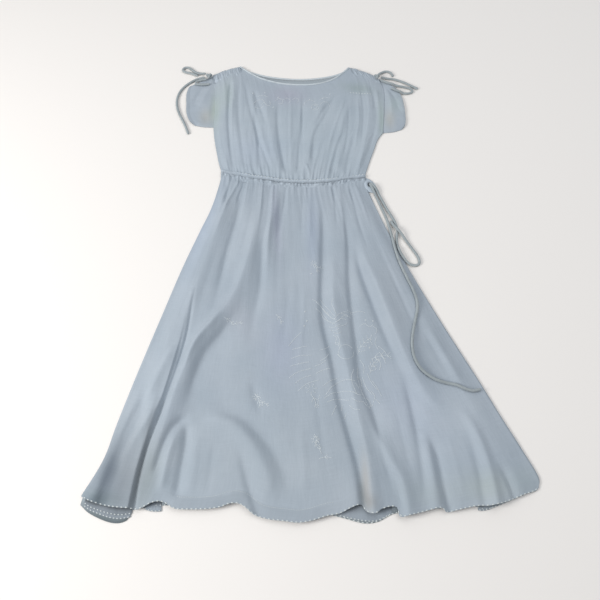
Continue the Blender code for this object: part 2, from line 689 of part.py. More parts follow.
def make_sleeve(collection, name, side, armhole, top, cuff, under):
    """A short flattened tube from armhole to cuff, open at both ends. side is -1 for the one lying at -X."""
    seam = beside(smooth(armhole, ARMHOLE_STEPS + 1), side * SEAM)
    seam[[0, -1]] += (side * WALL, 0)
    plan = patch(
        seam,
        smooth(cuff, ARMHOLE_STEPS + 1),
        smooth(np.vstack([seam[:1], top[1:]]), SLEEVE_ALONG + 1),
        smooth(np.vstack([seam[-1:], under[1:]]), SLEEVE_ALONG + 1),
    )
    low = np.full(plan.shape[:2], WALL / 2)
    high = np.full(plan.shape[:2], SLEEVE_LIFT - WALL / 2)
    lower = np.concatenate([plan, low[..., None]], axis=-1)
    upper = np.concatenate([plan, high[..., None]], axis=-1)
    rings = np.concatenate([lower, upper[:, ::-1]], axis=1)
    if side < 0:
        rings = rings[:, ::-1]
    return shell(collection, name, rings, "cloth", around=True, offset=0.0)


def spaced(route, radius):
    """Points along a smooth curve through a route."""
    return smooth(route, max(8, round(length_of(route) / (CORD_SPACING * 2 * radius))))


def ground_under(x, y, radius, trees):
    """The highest point beneath a round footprint; 0 where only the floor is there."""
    spots = [(x, y)] + [
        (x + radius * math.cos(turn), y + radius * math.sin(turn)) for turn in np.arange(8) * math.pi / 4
    ]
    high = 0.0
    for tree in trees:
        for spot in spots:
            hit = tree.ray_cast(Vector((*spot, 1.0)), Vector((0, 0, -1)))[0]
            if hit is not None:
                high = max(high, hit.z)
    return high


def rested(route, radius, trees):
    """A cord's points, lying on what is beneath them and beneath the stretch up to the next points."""
    points = spaced(route, radius)
    between = 4
    fine = smooth(route, between * (len(points) - 1) + 1)
    ground = np.array([ground_under(x, y, radius, trees) for x, y, _ in fine])
    for i in range(len(points)):
        reach = ground[max(0, between * (i - 1)) : between * (i + 1) + 1]
        points[i, 2] += reach.max() + radius + GAP
    return points


def make_cords(collection):
    bpy.context.view_layer.update()
    graph = bpy.context.evaluated_depsgraph_get()
    under = ("skirt_front", "bodice_front", "sleeve_left", "sleeve_right")
    trees = [BVHTree.FromObject(bpy.data.objects[name], graph) for name in under]
    for name, route, radius in (
        ("waist_cord_long", WAIST_LONG, CORD_RADIUS),
        ("waist_cord_loop", WAIST_LOOP, CORD_RADIUS),
        ("tie_right_loop", TIE_RIGHT_LOOP, TIE_RADIUS),
        ("tie_right_tail", TIE_RIGHT_TAIL, TIE_RADIUS),
        ("tie_right_short", TIE_RIGHT_SHORT, TIE_RADIUS),
        ("tie_left_loop", TIE_LEFT_LOOP, TIE_RADIUS),
        ("tie_left_tail", TIE_LEFT_TAIL, TIE_RADIUS),
        ("tie_left_short", TIE_LEFT_SHORT, TIE_RADIUS),
    ):
        tube(collection, name, rested(route, radius, trees), radius, "cord")
    for name, (centre, half) in KNOTS.items():
        knot(collection, name, centre, half)


def centre(collection):
    """Moves every piece so that the garment without its cords has the middle of its base at the origin."""
    bpy.context.view_layer.update()
    graph = bpy.context.evaluated_depsgraph_get()
    spots = []
    for piece in collection.objects:
        if piece.name.startswith(("tie_", "waist_cord_")):
            continue
        shape = piece.evaluated_get(graph)
        spots += [shape.matrix_world @ Vector(corner) for corner in shape.bound_box]
    spots = np.array(spots)
    middle = (spots.min(axis=0) + spots.max(axis=0)) / 2
    for piece in collection.objects:
        piece.location.x -= middle[0]
        piece.location.y -= middle[1]


def main():
    for old in list(bpy.data.objects):
        bpy.data.objects.remove(old)
    collection = bpy.data.collections.new(OBJECT_NAME)
    bpy.context.scene.collection.children.link(collection)
    bodice, front = make_bodice(collection)
    make_neck(collection)
    make_shoulder_casings(collection, bodice, front)
    make_waist(collection)
    make_skirt(collection)
    left = ARMHOLE_LEFT, SLEEVE_LEFT_TOP, SLEEVE_LEFT_CUFF, SLEEVE_LEFT_UNDER
    right = ARMHOLE_RIGHT, SLEEVE_RIGHT_TOP, SLEEVE_RIGHT_CUFF, SLEEVE_RIGHT_UNDER
    make_sleeve(collection, "sleeve_right", -1, *left)
    make_sleeve(collection, "sleeve_left", 1, *right)
    make_cords(collection)
    centre(collection)


main()
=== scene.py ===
"""The looks of a drawstring peasant dress, laid flat with its front up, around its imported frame.

Metres, in the frame's own axes. The tables of edges, folds and cord routes are in the dress's own
coordinates, and PLACE moves everything made from them to where the frame has it. Right and left are the
wearer's in the names of pieces, cords, folds and spots, and the picture's in the names of edges.
"""

import math
from collections import namedtuple

import bmesh
import bpy
import numpy as np
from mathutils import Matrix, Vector
from mathutils.bvhtree import BVHTree


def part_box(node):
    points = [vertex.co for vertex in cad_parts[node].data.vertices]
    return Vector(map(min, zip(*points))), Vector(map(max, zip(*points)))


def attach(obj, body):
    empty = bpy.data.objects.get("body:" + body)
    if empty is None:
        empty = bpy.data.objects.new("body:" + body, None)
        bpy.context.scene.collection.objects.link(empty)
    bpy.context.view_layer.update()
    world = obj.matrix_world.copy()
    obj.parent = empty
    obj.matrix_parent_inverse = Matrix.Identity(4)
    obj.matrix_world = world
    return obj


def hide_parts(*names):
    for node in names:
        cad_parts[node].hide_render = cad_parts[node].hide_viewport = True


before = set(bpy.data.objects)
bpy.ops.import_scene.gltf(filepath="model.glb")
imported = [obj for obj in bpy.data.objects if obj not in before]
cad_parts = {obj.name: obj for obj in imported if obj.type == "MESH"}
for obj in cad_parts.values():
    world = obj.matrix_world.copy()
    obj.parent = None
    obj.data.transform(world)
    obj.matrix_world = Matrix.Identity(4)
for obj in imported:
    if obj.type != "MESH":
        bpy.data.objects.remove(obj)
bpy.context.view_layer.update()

# Cloth and trims.
WALL = 0.0012  # the frame's cloth wall
CLOTH = 0.0008  # thickness of the voile
BED = 0.0016  # height that the front panels rest at
CASING_HALF = 0.0115  # half the depth of the waist's drawstring channel
SEAM = 0.0006  # between a back panel and the back waist strip
RIBBON_BASE = 0.0010  # height of the edges of the back strips
FINE_CLOTH = 0.0006  # thickness of the small gathered pieces
TUCK = 0.0040  # how far above the waist the skirt and the bodice meet, under the casing
CORD_RADIUS = 0.0028
TIE_RADIUS = 0.0027
BINDING_RADIUS = 0.0024
BINDING_WIDTH = 0.0050
TUBE_SIDES = 12
TUBE_TWIST = 18.0  # radians that a sewn tube's seam winds in a metre
HEM_DEPTH = 0.026  # depth of the turned-up hem
THREAD = 0.0005  # radius of a sewing stitch
SEAM_THREAD = 0.0013  # radius of a stitch along the waist's seam and the shoulder's
EDGING = 0.0014  # radius of a stitch over the hem's edge
YARN = 0.00068  # radius of an embroidery stitch
DOT_RADIUS = 0.0016  # of the small round dots of embroidery

# How folds die away.
FOLD_SHARPNESS = 1.7
SETTLE = 0.0010
EDGE_SHARE = 0.06
TOP_EASE = 0.2

# ---- edges of the panels, as x, y

WAIST = ((-0.213, 0.227), (-0.122, 0.2095), (-0.029, 0.197), (0.054, 0.2005), (0.141, 0.214))
SHOULDER_LEFT = ((-0.251, 0.548), (-0.220, 0.5635), (-0.181, 0.578))
SHOULDER_RIGHT = ((0.112, 0.575), (0.146, 0.562), (0.180, 0.545))
NECK_FRONT = (
    (-0.181, 0.578), (-0.150, 0.554), (-0.118, 0.535), (-0.070, 0.520), (-0.020, 0.515), (0.030, 0.519),
    (0.068, 0.534), (0.091, 0.553), (0.112, 0.575),
)
NECK_BACK = (
    (-0.181, 0.578), (-0.150, 0.5625), (-0.100, 0.547), (-0.020, 0.5385), (0.050, 0.546), (0.088, 0.559),
    (0.112, 0.575),
)
ARMHOLE_LEFT = ((-0.251, 0.548), (-0.243, 0.495), (-0.239, 0.434), (-0.240, 0.376))
ARMHOLE_RIGHT = ((0.180, 0.545), (0.199, 0.508), (0.198, 0.434), (0.191, 0.358))
SIDE_LEFT = ((-0.240, 0.376), (-0.235, 0.337), (-0.228, 0.300), (-0.220, 0.263), (-0.213, 0.240))
SIDE_RIGHT = ((0.191, 0.358), (0.177, 0.337), (0.166, 0.306), (0.152, 0.266), (0.140, 0.228))
SKIRT_LEFT = (
    (-0.213, 0.214), (-0.231, 0.132), (-0.254, 0.068), (-0.289, -0.033), (-0.3215, -0.140),
    (-0.3665, -0.290), (-0.395, -0.393), (-0.412, -0.460), (-0.447, -0.533),
)
SKIRT_RIGHT = (
    (0.140, 0.200), (0.167, 0.119), (0.193, 0.052), (0.2455, -0.069), (0.298, -0.179), (0.3595, -0.302),
    (0.3955, -0.378), (0.4265, -0.440), (0.453, -0.500), (0.450, -0.5150),
)
HEM_FRONT = (
    (-0.447, -0.533), (-0.433, -0.5405), (-0.415, -0.5465), (-0.392, -0.552), (-0.368, -0.5555),
    (-0.346, -0.557), (-0.334, -0.559), (-0.318, -0.552), (-0.306, -0.5455), (-0.289, -0.5435),
    (-0.278, -0.548), (-0.262, -0.557), (-0.235, -0.5585), (-0.201, -0.558), (-0.172, -0.554),
    (-0.157, -0.548), (-0.142, -0.547), (-0.130, -0.551), (-0.108, -0.568), (-0.083, -0.576),
    (-0.050, -0.580), (-0.023, -0.583), (0.004, -0.579), (0.034, -0.570), (0.056, -0.5665), (0.079, -0.5555),
    (0.100, -0.5495), (0.106, -0.5590), (0.116, -0.5655), (0.129, -0.5660), (0.138, -0.5585),
    (0.156, -0.5530), (0.168, -0.5545), (0.172, -0.5715), (0.198, -0.568), (0.220, -0.5625),
    (0.245, -0.5565), (0.258, -0.5565), (0.262, -0.5630), (0.287, -0.5590), (0.323, -0.5520),
    (0.348, -0.5515), (0.372, -0.5470), (0.398, -0.5380), (0.423, -0.5285), (0.446, -0.5210),
    (0.450, -0.5150),
)
HEM_BACK = (
    (-0.447, -0.549), (-0.427, -0.565), (-0.376, -0.583), (-0.353, -0.577), (-0.343, -0.558),
    (-0.260, -0.549), (-0.150, -0.544), (-0.080, -0.564), (0.020, -0.565), (0.058, -0.572), (0.108, -0.5835),
    (0.133, -0.5795), (0.160, -0.566), (0.260, -0.555), (0.320, -0.5510), (0.336, -0.5580), (0.362, -0.5520),
    (0.450, -0.5170),
)
# Layers that show below the front hem: the height of the middle, the painted shade at the top and at the foot,
# the hidden upper edge and the foot's edge.
Layer = namedtuple("Layer", "name height top foot upper lower")
HEM_LAYERS = (
    Layer(
        "hem_layer_right_corner", 0.0030, 0.34, 0.60, ((-0.438, -0.538), (-0.390, -0.545), (-0.345, -0.550)),
        (
            (-0.441, -0.545), (-0.431, -0.552), (-0.410, -0.560), (-0.389, -0.566), (-0.367, -0.5685),
            (-0.345, -0.5655),
        ),
    ),
    Layer(
        "hem_layer_right_middle", 0.0020, 0.40, 0.66, ((-0.436, -0.545), (-0.390, -0.552), (-0.346, -0.556)),
        (
            (-0.441, -0.5505), (-0.429, -0.5585), (-0.406, -0.5675), (-0.386, -0.5735), (-0.366, -0.5755),
            (-0.347, -0.572),
        ),
    ),
    Layer("hem_layer_fold_end", 0.0030, 0.45, 0.85, ((-0.324, -0.548), (-0.306, -0.541), (-0.289, -0.541)), (
        (-0.323, -0.555), (-0.316, -0.559), (-0.306, -0.5612), (-0.295, -0.5616), (-0.288, -0.561),
    )),
    Layer("hem_layer_pleat", 0.0032, 0.42, 0.80, ((0.052, -0.558), (0.100, -0.538), (0.160, -0.548)), (
        (0.055, -0.5685), (0.072, -0.5735), (0.094, -0.578), (0.117, -0.5805), (0.135, -0.5775),
        (0.147, -0.5715), (0.158, -0.5665),
    )),
    Layer("hem_layer_left", 0.0028, 0.45, 0.70, ((0.325, -0.545), (0.345, -0.546), (0.364, -0.544)), (
        (0.326, -0.5595), (0.334, -0.5602), (0.346, -0.558), (0.355, -0.5545), (0.365, -0.551),
    )),
)
SLEEVE_LEFT_TOP = ((-0.251, 0.548), (-0.284, 0.528), (-0.310, 0.5115))
SLEEVE_LEFT_CUFF = (
    (-0.310, 0.5115), (-0.316, 0.487), (-0.314, 0.450), (-0.311, 0.418), (-0.301, 0.395), (-0.288, 0.382),
)
SLEEVE_LEFT_UNDER = ((-0.240, 0.376), (-0.264, 0.377), (-0.288, 0.382))
SLEEVE_RIGHT_TOP = ((0.180, 0.545), (0.208, 0.527), (0.231, 0.508))
SLEEVE_RIGHT_CUFF = (
    (0.231, 0.508), (0.245, 0.477), (0.250, 0.441), (0.251, 0.405), (0.248, 0.382), (0.240, 0.369),
)
SLEEVE_RIGHT_UNDER = ((0.191, 0.358), (0.217, 0.361), (0.240, 0.369))

# ---- folds

# height is below zero for a trough; left and right are its widths on either side of its route; lean is how far
# its crest leans to the right, as a share of its height; rising and sinking are the shares of its length over
# which it comes up at its start and dies away at its end; route is x, y.
Fold = namedtuple("Fold", "height left right lean rising sinking route")
SKIRT_FOLDS = (
    # the near side of the left hip, and the slit beside it
    Fold(-0.006, 0.005, 0.007, 0.0, 0.2, 0.4, ((-0.190, 0.208), (-0.194, 0.189), (-0.198, 0.135))),
    Fold(0.004, 0.006, 0.008, 0.0, 0.3, 0.4, ((-0.198, 0.208), (-0.206, 0.165), (-0.212, 0.120))),
    Fold(-0.008, 0.010, 0.012, 0.0, 0.1, 0.5, (
        (-0.155, 0.195), (-0.162, 0.140), (-0.168, 0.096), (-0.187, 0.007), (-0.205, -0.100),
        (-0.216, -0.160),
    )),
    Fold(0.008, 0.014, 0.014, 0.0, 0.2, 0.4, (
        (-0.182, 0.190), (-0.205, 0.100), (-0.238, -0.020), (-0.268, -0.140), (-0.290, -0.220),
    )),
    Fold(-0.003, 0.008, 0.010, 0.0, 0.3, 0.4, ((-0.205, 0.093), (-0.236, -0.010), (-0.262, -0.120))),
    Fold(0.012, 0.014, 0.026, 0.0, 0.2, 0.3, (
        (-0.115, 0.160), (-0.129, 0.041), (-0.154, -0.070), (-0.189, -0.144), (-0.236, -0.203),
        (-0.257, -0.260), (-0.276, -0.319), (-0.291, -0.383), (-0.306, -0.444), (-0.318, -0.530),
    )),
    Fold(0.006, 0.008, 0.008, 0.0, 0.3, 0.4, (
        (-0.188, -0.120), (-0.205, -0.160), (-0.236, -0.203), (-0.255, -0.240), (-0.264, -0.290),
    )),
    Fold(-0.008, 0.009, 0.024, 0.0, 0.3, 0.5, (
        (-0.150, -0.130), (-0.190, -0.190), (-0.222, -0.235), (-0.241, -0.291), (-0.250, -0.345),
        (-0.257, -0.385),
    )),
    Fold(-0.005, 0.012, 0.010, 0.0, 0.3, 0.5, (
        (-0.100, 0.090), (-0.105, 0.041), (-0.109, -0.080), (-0.122, -0.161), (-0.135, -0.250),
    )),
    Fold(0.008, 0.007, 0.016, 0.0, 0.1, 0.5, (
        (-0.085, 0.190), (-0.084, 0.115), (-0.094, 0.041), (-0.094, -0.100),
    )),
    Fold(-0.006, 0.006, 0.012, 0.0, 0.1, 0.5, ((-0.060, 0.192), (-0.071, 0.096), (-0.071, 0.030))),
    # the tube fold and the deep pleat at the lower left
    Fold(0.0048, 0.022, 0.003, 0.30, 0.35, 0.0, (
        (-0.266, -0.120), (-0.282, -0.220), (-0.303, -0.320), (-0.327, -0.410), (-0.345, -0.490),
        (-0.353, -0.570),
    )),
    Fold(-0.0045, 0.003, 0.004, 0.0, 0.35, 0.0, (
        (-0.247, -0.029), (-0.257, -0.112), (-0.266, -0.201), (-0.281, -0.276), (-0.303, -0.356),
        (-0.327, -0.438), (-0.338, -0.500), (-0.341, -0.570),
    )),
    Fold(-0.014, 0.008, 0.016, 0.0, 0.4, 0.0, (
        (-0.335, -0.300), (-0.366, -0.390), (-0.388, -0.460), (-0.402, -0.520), (-0.406, -0.570),
    )),
    Fold(0.006, 0.014, 0.010, 0.0, 0.4, 0.0, (
        (-0.350, -0.300), (-0.385, -0.400), (-0.412, -0.480), (-0.428, -0.545),
    )),
    Fold(0.008, 0.014, 0.012, 0.0, 0.3, 0.2, ((-0.304, -0.334), (-0.344, -0.404), (-0.390, -0.483))),
    Fold(0.005, 0.010, 0.012, 0.0, 0.3, 0.3, ((-0.285, -0.207), (-0.315, -0.282), (-0.348, -0.368))),
    Fold(-0.004, 0.010, 0.012, 0.0, 0.3, 0.2, ((-0.330, -0.300), (-0.368, -0.420), (-0.408, -0.515))),
    # the forked fold to the right of the deep pleat
    Fold(-0.006, 0.008, 0.010, 0.0, 0.2, 0.2, (
        (-0.238, -0.373), (-0.262, -0.384), (-0.280, -0.402), (-0.295, -0.438), (-0.310, -0.500),
    )),
    Fold(-0.007, 0.008, 0.012, 0.0, 0.2, 0.2, (
        (-0.251, -0.380), (-0.251, -0.438), (-0.257, -0.497), (-0.262, -0.545),
    )),
    Fold(0.005, 0.008, 0.010, 0.0, 0.3, 0.2, ((-0.268, -0.400), (-0.282, -0.460), (-0.292, -0.530))),
    # the fold that curves down from the middle
    Fold(0.006, 0.022, 0.016, 0.0, 0.2, 0.2, (
        (-0.225, -0.382), (-0.190, -0.380), (-0.160, -0.388), (-0.127, -0.418), (-0.099, -0.460),
        (-0.082, -0.500), (-0.075, -0.550),
    )),
    Fold(-0.0045, 0.012, 0.024, 0.0, 0.2, 0.3, (
        (-0.215, -0.366), (-0.180, -0.365), (-0.142, -0.378), (-0.100, -0.414), (-0.066, -0.460),
        (-0.045, -0.510), (-0.040, -0.540),
    )),
    Fold(-0.0045, 0.007, 0.016, 0.0, 0.4, 0.0, (
        (-0.144, -0.430), (-0.136, -0.460), (-0.120, -0.516), (-0.100, -0.572),
    )),
    Fold(-0.003, 0.008, 0.012, 0.0, 0.4, 0.4, ((-0.124, -0.290), (-0.110, -0.340), (-0.096, -0.380))),
    # the long troughs of the right half
    Fold(-0.0085, 0.007, 0.014, 0.0, 0.2, 0.0, (
        (0.033, 0.180), (0.034, 0.041), (0.030, -0.080), (0.031, -0.161), (0.049, -0.253), (0.063, -0.341),
        (0.082, -0.418), (0.098, -0.489), (0.105, -0.580),
    )),
    Fold(0.008, 0.010, 0.018, -0.3, 0.3, 0.0, (
        (0.061, 0.050), (0.056, -0.100), (0.063, -0.180), (0.082, -0.276), (0.100, -0.368), (0.117, -0.460),
        (0.122, -0.535), (0.124, -0.580),
    )),
    Fold(-0.006, 0.006, 0.012, 0.0, 0.2, 0.3, (
        (0.078, 0.170), (0.090, 0.041), (0.091, -0.080), (0.099, -0.201), (0.106, -0.298), (0.130, -0.368),
        (0.148, -0.450), (0.168, -0.570),
    )),
    Fold(0.012, 0.008, 0.030, 0.0, 0.3, 0.3, (
        (0.118, 0.060), (0.130, -0.010), (0.153, -0.085), (0.183, -0.184), (0.213, -0.276), (0.250, -0.341),
        (0.300, -0.370),
    )),
    Fold(-0.007, 0.010, 0.008, 0.0, 0.3, 0.3, (
        (0.104, 0.060), (0.118, -0.030), (0.140, -0.110), (0.170, -0.205), (0.196, -0.280),
    )),
    Fold(0.009, 0.008, 0.018, 0.0, 0.3, 0.0, (
        (0.128, -0.380), (0.140, -0.415), (0.156, -0.458), (0.180, -0.505), (0.190, -0.575),
    )),
    Fold(-0.006, 0.008, 0.014, 0.0, 0.3, 0.3, (
        (0.195, -0.270), (0.212, -0.360), (0.222, -0.450), (0.228, -0.560),
    )),
    Fold(-0.007, 0.006, 0.012, 0.0, 0.4, 0.0, (
        (0.239, -0.397), (0.252, -0.460), (0.258, -0.510), (0.270, -0.570),
    )),
    Fold(0.006, 0.012, 0.014, 0.0, 0.4, 0.0, ((0.222, -0.390), (0.236, -0.470), (0.244, -0.560))),
    Fold(0.008, 0.010, 0.012, 0.0, 0.4, 0.0, (
        (0.300, -0.345), (0.328, -0.390), (0.352, -0.470), (0.362, -0.555),
    )),
    Fold(-0.004, 0.008, 0.010, 0.0, 0.4, 0.0, ((0.318, -0.400), (0.334, -0.470), (0.338, -0.556))),
    Fold(-0.005, 0.004, 0.010, 0.0, 0.5, 0.0, ((0.372, -0.460), (0.388, -0.505), (0.398, -0.545))),
    Fold(0.004, 0.010, 0.010, 0.0, 0.4, 0.3, ((0.250, -0.160), (0.290, -0.250), (0.330, -0.330))),
    Fold(-0.003, 0.008, 0.010, 0.0, 0.4, 0.4, ((0.245, -0.180), (0.275, -0.240), (0.300, -0.290))),
)
BODICE_FOLDS = (
    Fold(-0.006, 0.004, 0.005, 0.0, 0.1, 0.0, (
        (-0.203, 0.530), (-0.202, 0.400), (-0.192, 0.300), (-0.182, 0.240),
    )),
    Fold(0.0025, 0.006, 0.014, 0.0, 0.1, 0.0, (
        (-0.194, 0.550), (-0.192, 0.420), (-0.174, 0.320), (-0.162, 0.235),
    )),
    Fold(-0.003, 0.006, 0.006, 0.0, 0.2, 0.1, ((-0.180, 0.530), (-0.178, 0.420), (-0.152, 0.235))),
    Fold(-0.003, 0.004, 0.008, 0.0, 0.1, 0.1, (
        (-0.165, 0.530), (-0.150, 0.440), (-0.126, 0.350), (-0.090, 0.235),
    )),
    Fold(0.003, 0.007, 0.007, 0.0, 0.2, 0.1, (
        (-0.150, 0.500), (-0.132, 0.410), (-0.106, 0.310), (-0.080, 0.228),
    )),
    Fold(-0.003, 0.005, 0.007, 0.0, 0.2, 0.1, ((-0.140, 0.500), (-0.130, 0.400), (-0.118, 0.235))),
    Fold(0.004, 0.010, 0.014, 0.0, 0.2, 0.1, (
        (-0.112, 0.490), (-0.100, 0.400), (-0.084, 0.300), (-0.066, 0.222),
    )),
    Fold(-0.0045, 0.005, 0.008, 0.0, 0.25, 0.1, (
        (-0.076, 0.470), (-0.077, 0.400), (-0.070, 0.320), (-0.052, 0.222),
    )),
    Fold(0.002, 0.012, 0.012, 0.0, 0.3, 0.1, ((-0.045, 0.470), (-0.044, 0.380), (-0.036, 0.225))),
    Fold(-0.0035, 0.004, 0.007, 0.0, 0.25, 0.1, (
        (-0.012, 0.470), (-0.014, 0.420), (-0.018, 0.340), (-0.026, 0.225),
    )),
    Fold(0.004, 0.012, 0.010, 0.0, 0.2, 0.1, (
        (0.045, 0.470), (0.022, 0.380), (0.004, 0.300), (0.004, 0.230),
    )),
    Fold(-0.0035, 0.005, 0.008, 0.0, 0.2, 0.1, (
        (0.078, 0.490), (0.045, 0.410), (0.018, 0.350), (0.010, 0.260),
    )),
    Fold(0.004, 0.010, 0.010, 0.0, 0.2, 0.1, ((0.108, 0.460), (0.084, 0.360), (0.070, 0.235))),
    Fold(-0.004, 0.006, 0.008, 0.0, 0.3, 0.1, ((0.095, 0.380), (0.076, 0.310), (0.058, 0.222))),
    Fold(-0.004, 0.006, 0.008, 0.0, 0.3, 0.1, ((0.122, 0.360), (0.104, 0.290), (0.092, 0.225))),
    Fold(0.003, 0.004, 0.010, 0.0, 0.1, 0.1, (
        (0.150, 0.540), (0.158, 0.430), (0.142, 0.320), (0.120, 0.235),
    )),
    Fold(-0.003, 0.005, 0.006, 0.0, 0.1, 0.1, (
        (0.166, 0.520), (0.176, 0.410), (0.154, 0.300), (0.130, 0.232),
    )),
    Fold(0.003, 0.005, 0.008, 0.0, 0.1, 0.1, ((0.180, 0.500), (0.186, 0.400), (0.166, 0.310))),
)
SKIRT_LOFT = 0.0075
BODICE_LOFT = 0.0040
BODICE_FOLD_SHARE = 0.75
BODICE_TOP_SHARE = 0.3

# Finer creases, which the frame's panels leave out.
SKIRT_CREASES = (
    Fold(-0.0030, 0.004, 0.006, 0.0, 0.1, 0.4, (
        (-0.152, 0.222), (-0.156, 0.196), (-0.166, 0.165), (-0.172, 0.133),
    )),
    Fold(0.0030, 0.005, 0.004, 0.0, 0.1, 0.4, (
        (-0.168, 0.214), (-0.178, 0.184), (-0.192, 0.148), (-0.200, 0.110),
    )),
    Fold(0.0024, 0.004, 0.004, 0.0, 0.1, 0.5, (
        (-0.085, 0.200), (-0.086, 0.160), (-0.090, 0.100), (-0.094, 0.020),
    )),
    Fold(0.0018, 0.008, 0.008, 0.0, 0.1, 0.5, ((-0.108, 0.200), (-0.112, 0.150), (-0.118, 0.080))),
    Fold(-0.0026, 0.004, 0.006, 0.0, 0.1, 0.5, (
        (-0.048, 0.212), (-0.053, 0.180), (-0.060, 0.120), (-0.068, 0.060),
    )),
    Fold(-0.0014, 0.005, 0.005, 0.0, 0.1, 0.5, ((-0.010, 0.200), (-0.014, 0.120), (-0.018, 0.020))),
    Fold(0.0014, 0.006, 0.006, 0.0, 0.1, 0.5, ((0.006, 0.200), (0.004, 0.110), (-0.002, -0.020))),
    Fold(-0.0022, 0.003, 0.005, 0.0, 0.1, 0.5, ((0.058, 0.200), (0.064, 0.140), (0.068, 0.060))),
    Fold(0.0020, 0.004, 0.006, 0.0, 0.1, 0.5, (
        (0.072, 0.200), (0.080, 0.120), (0.086, 0.020), (0.088, -0.060),
    )),
    Fold(-0.0024, 0.004, 0.004, 0.0, 0.1, 0.5, (
        (0.100, 0.200), (0.112, 0.130), (0.126, 0.060), (0.142, 0.000),
    )),
    Fold(0.0020, 0.004, 0.004, 0.0, 0.1, 0.5, ((0.116, 0.200), (0.132, 0.130), (0.150, 0.050))),
    Fold(0.0014, 0.006, 0.005, 0.0, 0.3, 0.5, ((0.160, 0.050), (0.190, -0.040), (0.225, -0.130))),
    Fold(-0.0014, 0.005, 0.006, 0.0, 0.3, 0.5, (
        (0.172, 0.000), (0.200, -0.090), (0.232, -0.180), (0.262, -0.250),
    )),
    Fold(0.0013, 0.006, 0.006, 0.0, 0.3, 0.5, ((-0.010, -0.060), (-0.014, -0.180), (-0.026, -0.300))),
    Fold(-0.0012, 0.008, 0.008, 0.0, 0.3, 0.5, ((-0.042, -0.040), (-0.050, -0.160), (-0.066, -0.280))),
    Fold(-0.0012, 0.006, 0.006, 0.0, 0.3, 0.5, (
        (0.010, -0.260), (0.018, -0.360), (0.030, -0.460), (0.036, -0.540),
    )),
    Fold(0.0014, 0.008, 0.008, 0.0, 0.3, 0.3, ((-0.020, -0.380), (-0.012, -0.460), (-0.010, -0.550))),
    Fold(-0.0012, 0.006, 0.006, 0.0, 0.3, 0.3, ((-0.190, -0.420), (-0.196, -0.480), (-0.200, -0.540))),
    Fold(0.0012, 0.008, 0.006, 0.0, 0.3, 0.3, ((-0.225, -0.410), (-0.228, -0.470), (-0.234, -0.540))),
    Fold(-0.0012, 0.006, 0.006, 0.0, 0.3, 0.3, ((0.176, -0.350), (0.190, -0.430), (0.200, -0.500))),
    Fold(0.0012, 0.006, 0.006, 0.0, 0.3, 0.3, ((0.275, -0.400), (0.290, -0.470), (0.300, -0.550))),
)
BODICE_CREASES = (
    Fold(-0.0022, 0.004, 0.005, 0.0, 0.2, 0.2, (
        (-0.142, 0.500), (-0.128, 0.455), (-0.115, 0.415), (-0.106, 0.375),
    )),
    Fold(-0.0020, 0.003, 0.005, 0.0, 0.2, 0.2, ((-0.138, 0.430), (-0.133, 0.375), (-0.120, 0.300))),
    Fold(0.0022, 0.003, 0.003, 0.0, 0.1, 0.3, ((-0.196, 0.470), (-0.194, 0.400), (-0.188, 0.320))),
    Fold(0.0024, 0.003, 0.003, 0.0, 0.2, 0.2, ((-0.006, 0.260), (0.002, 0.235), (0.004, 0.215))),
    Fold(-0.0024, 0.004, 0.006, 0.0, 0.2, 0.2, (
        (0.072, 0.470), (0.048, 0.440), (0.030, 0.405), (0.018, 0.370),
    )),
    Fold(0.0018, 0.004, 0.004, 0.0, 0.2, 0.2, (
        (0.098, 0.470), (0.080, 0.410), (0.062, 0.350), (0.048, 0.280),
    )),
    Fold(-0.0016, 0.003, 0.004, 0.0, 0.2, 0.2, ((0.108, 0.440), (0.102, 0.360), (0.088, 0.280))),
    Fold(0.0016, 0.003, 0.003, 0.0, 0.2, 0.2, ((0.130, 0.470), (0.130, 0.390), (0.116, 0.300))),
    Fold(-0.0016, 0.003, 0.003, 0.0, 0.1, 0.2, ((0.140, 0.500), (0.144, 0.420), (0.134, 0.320))),
)
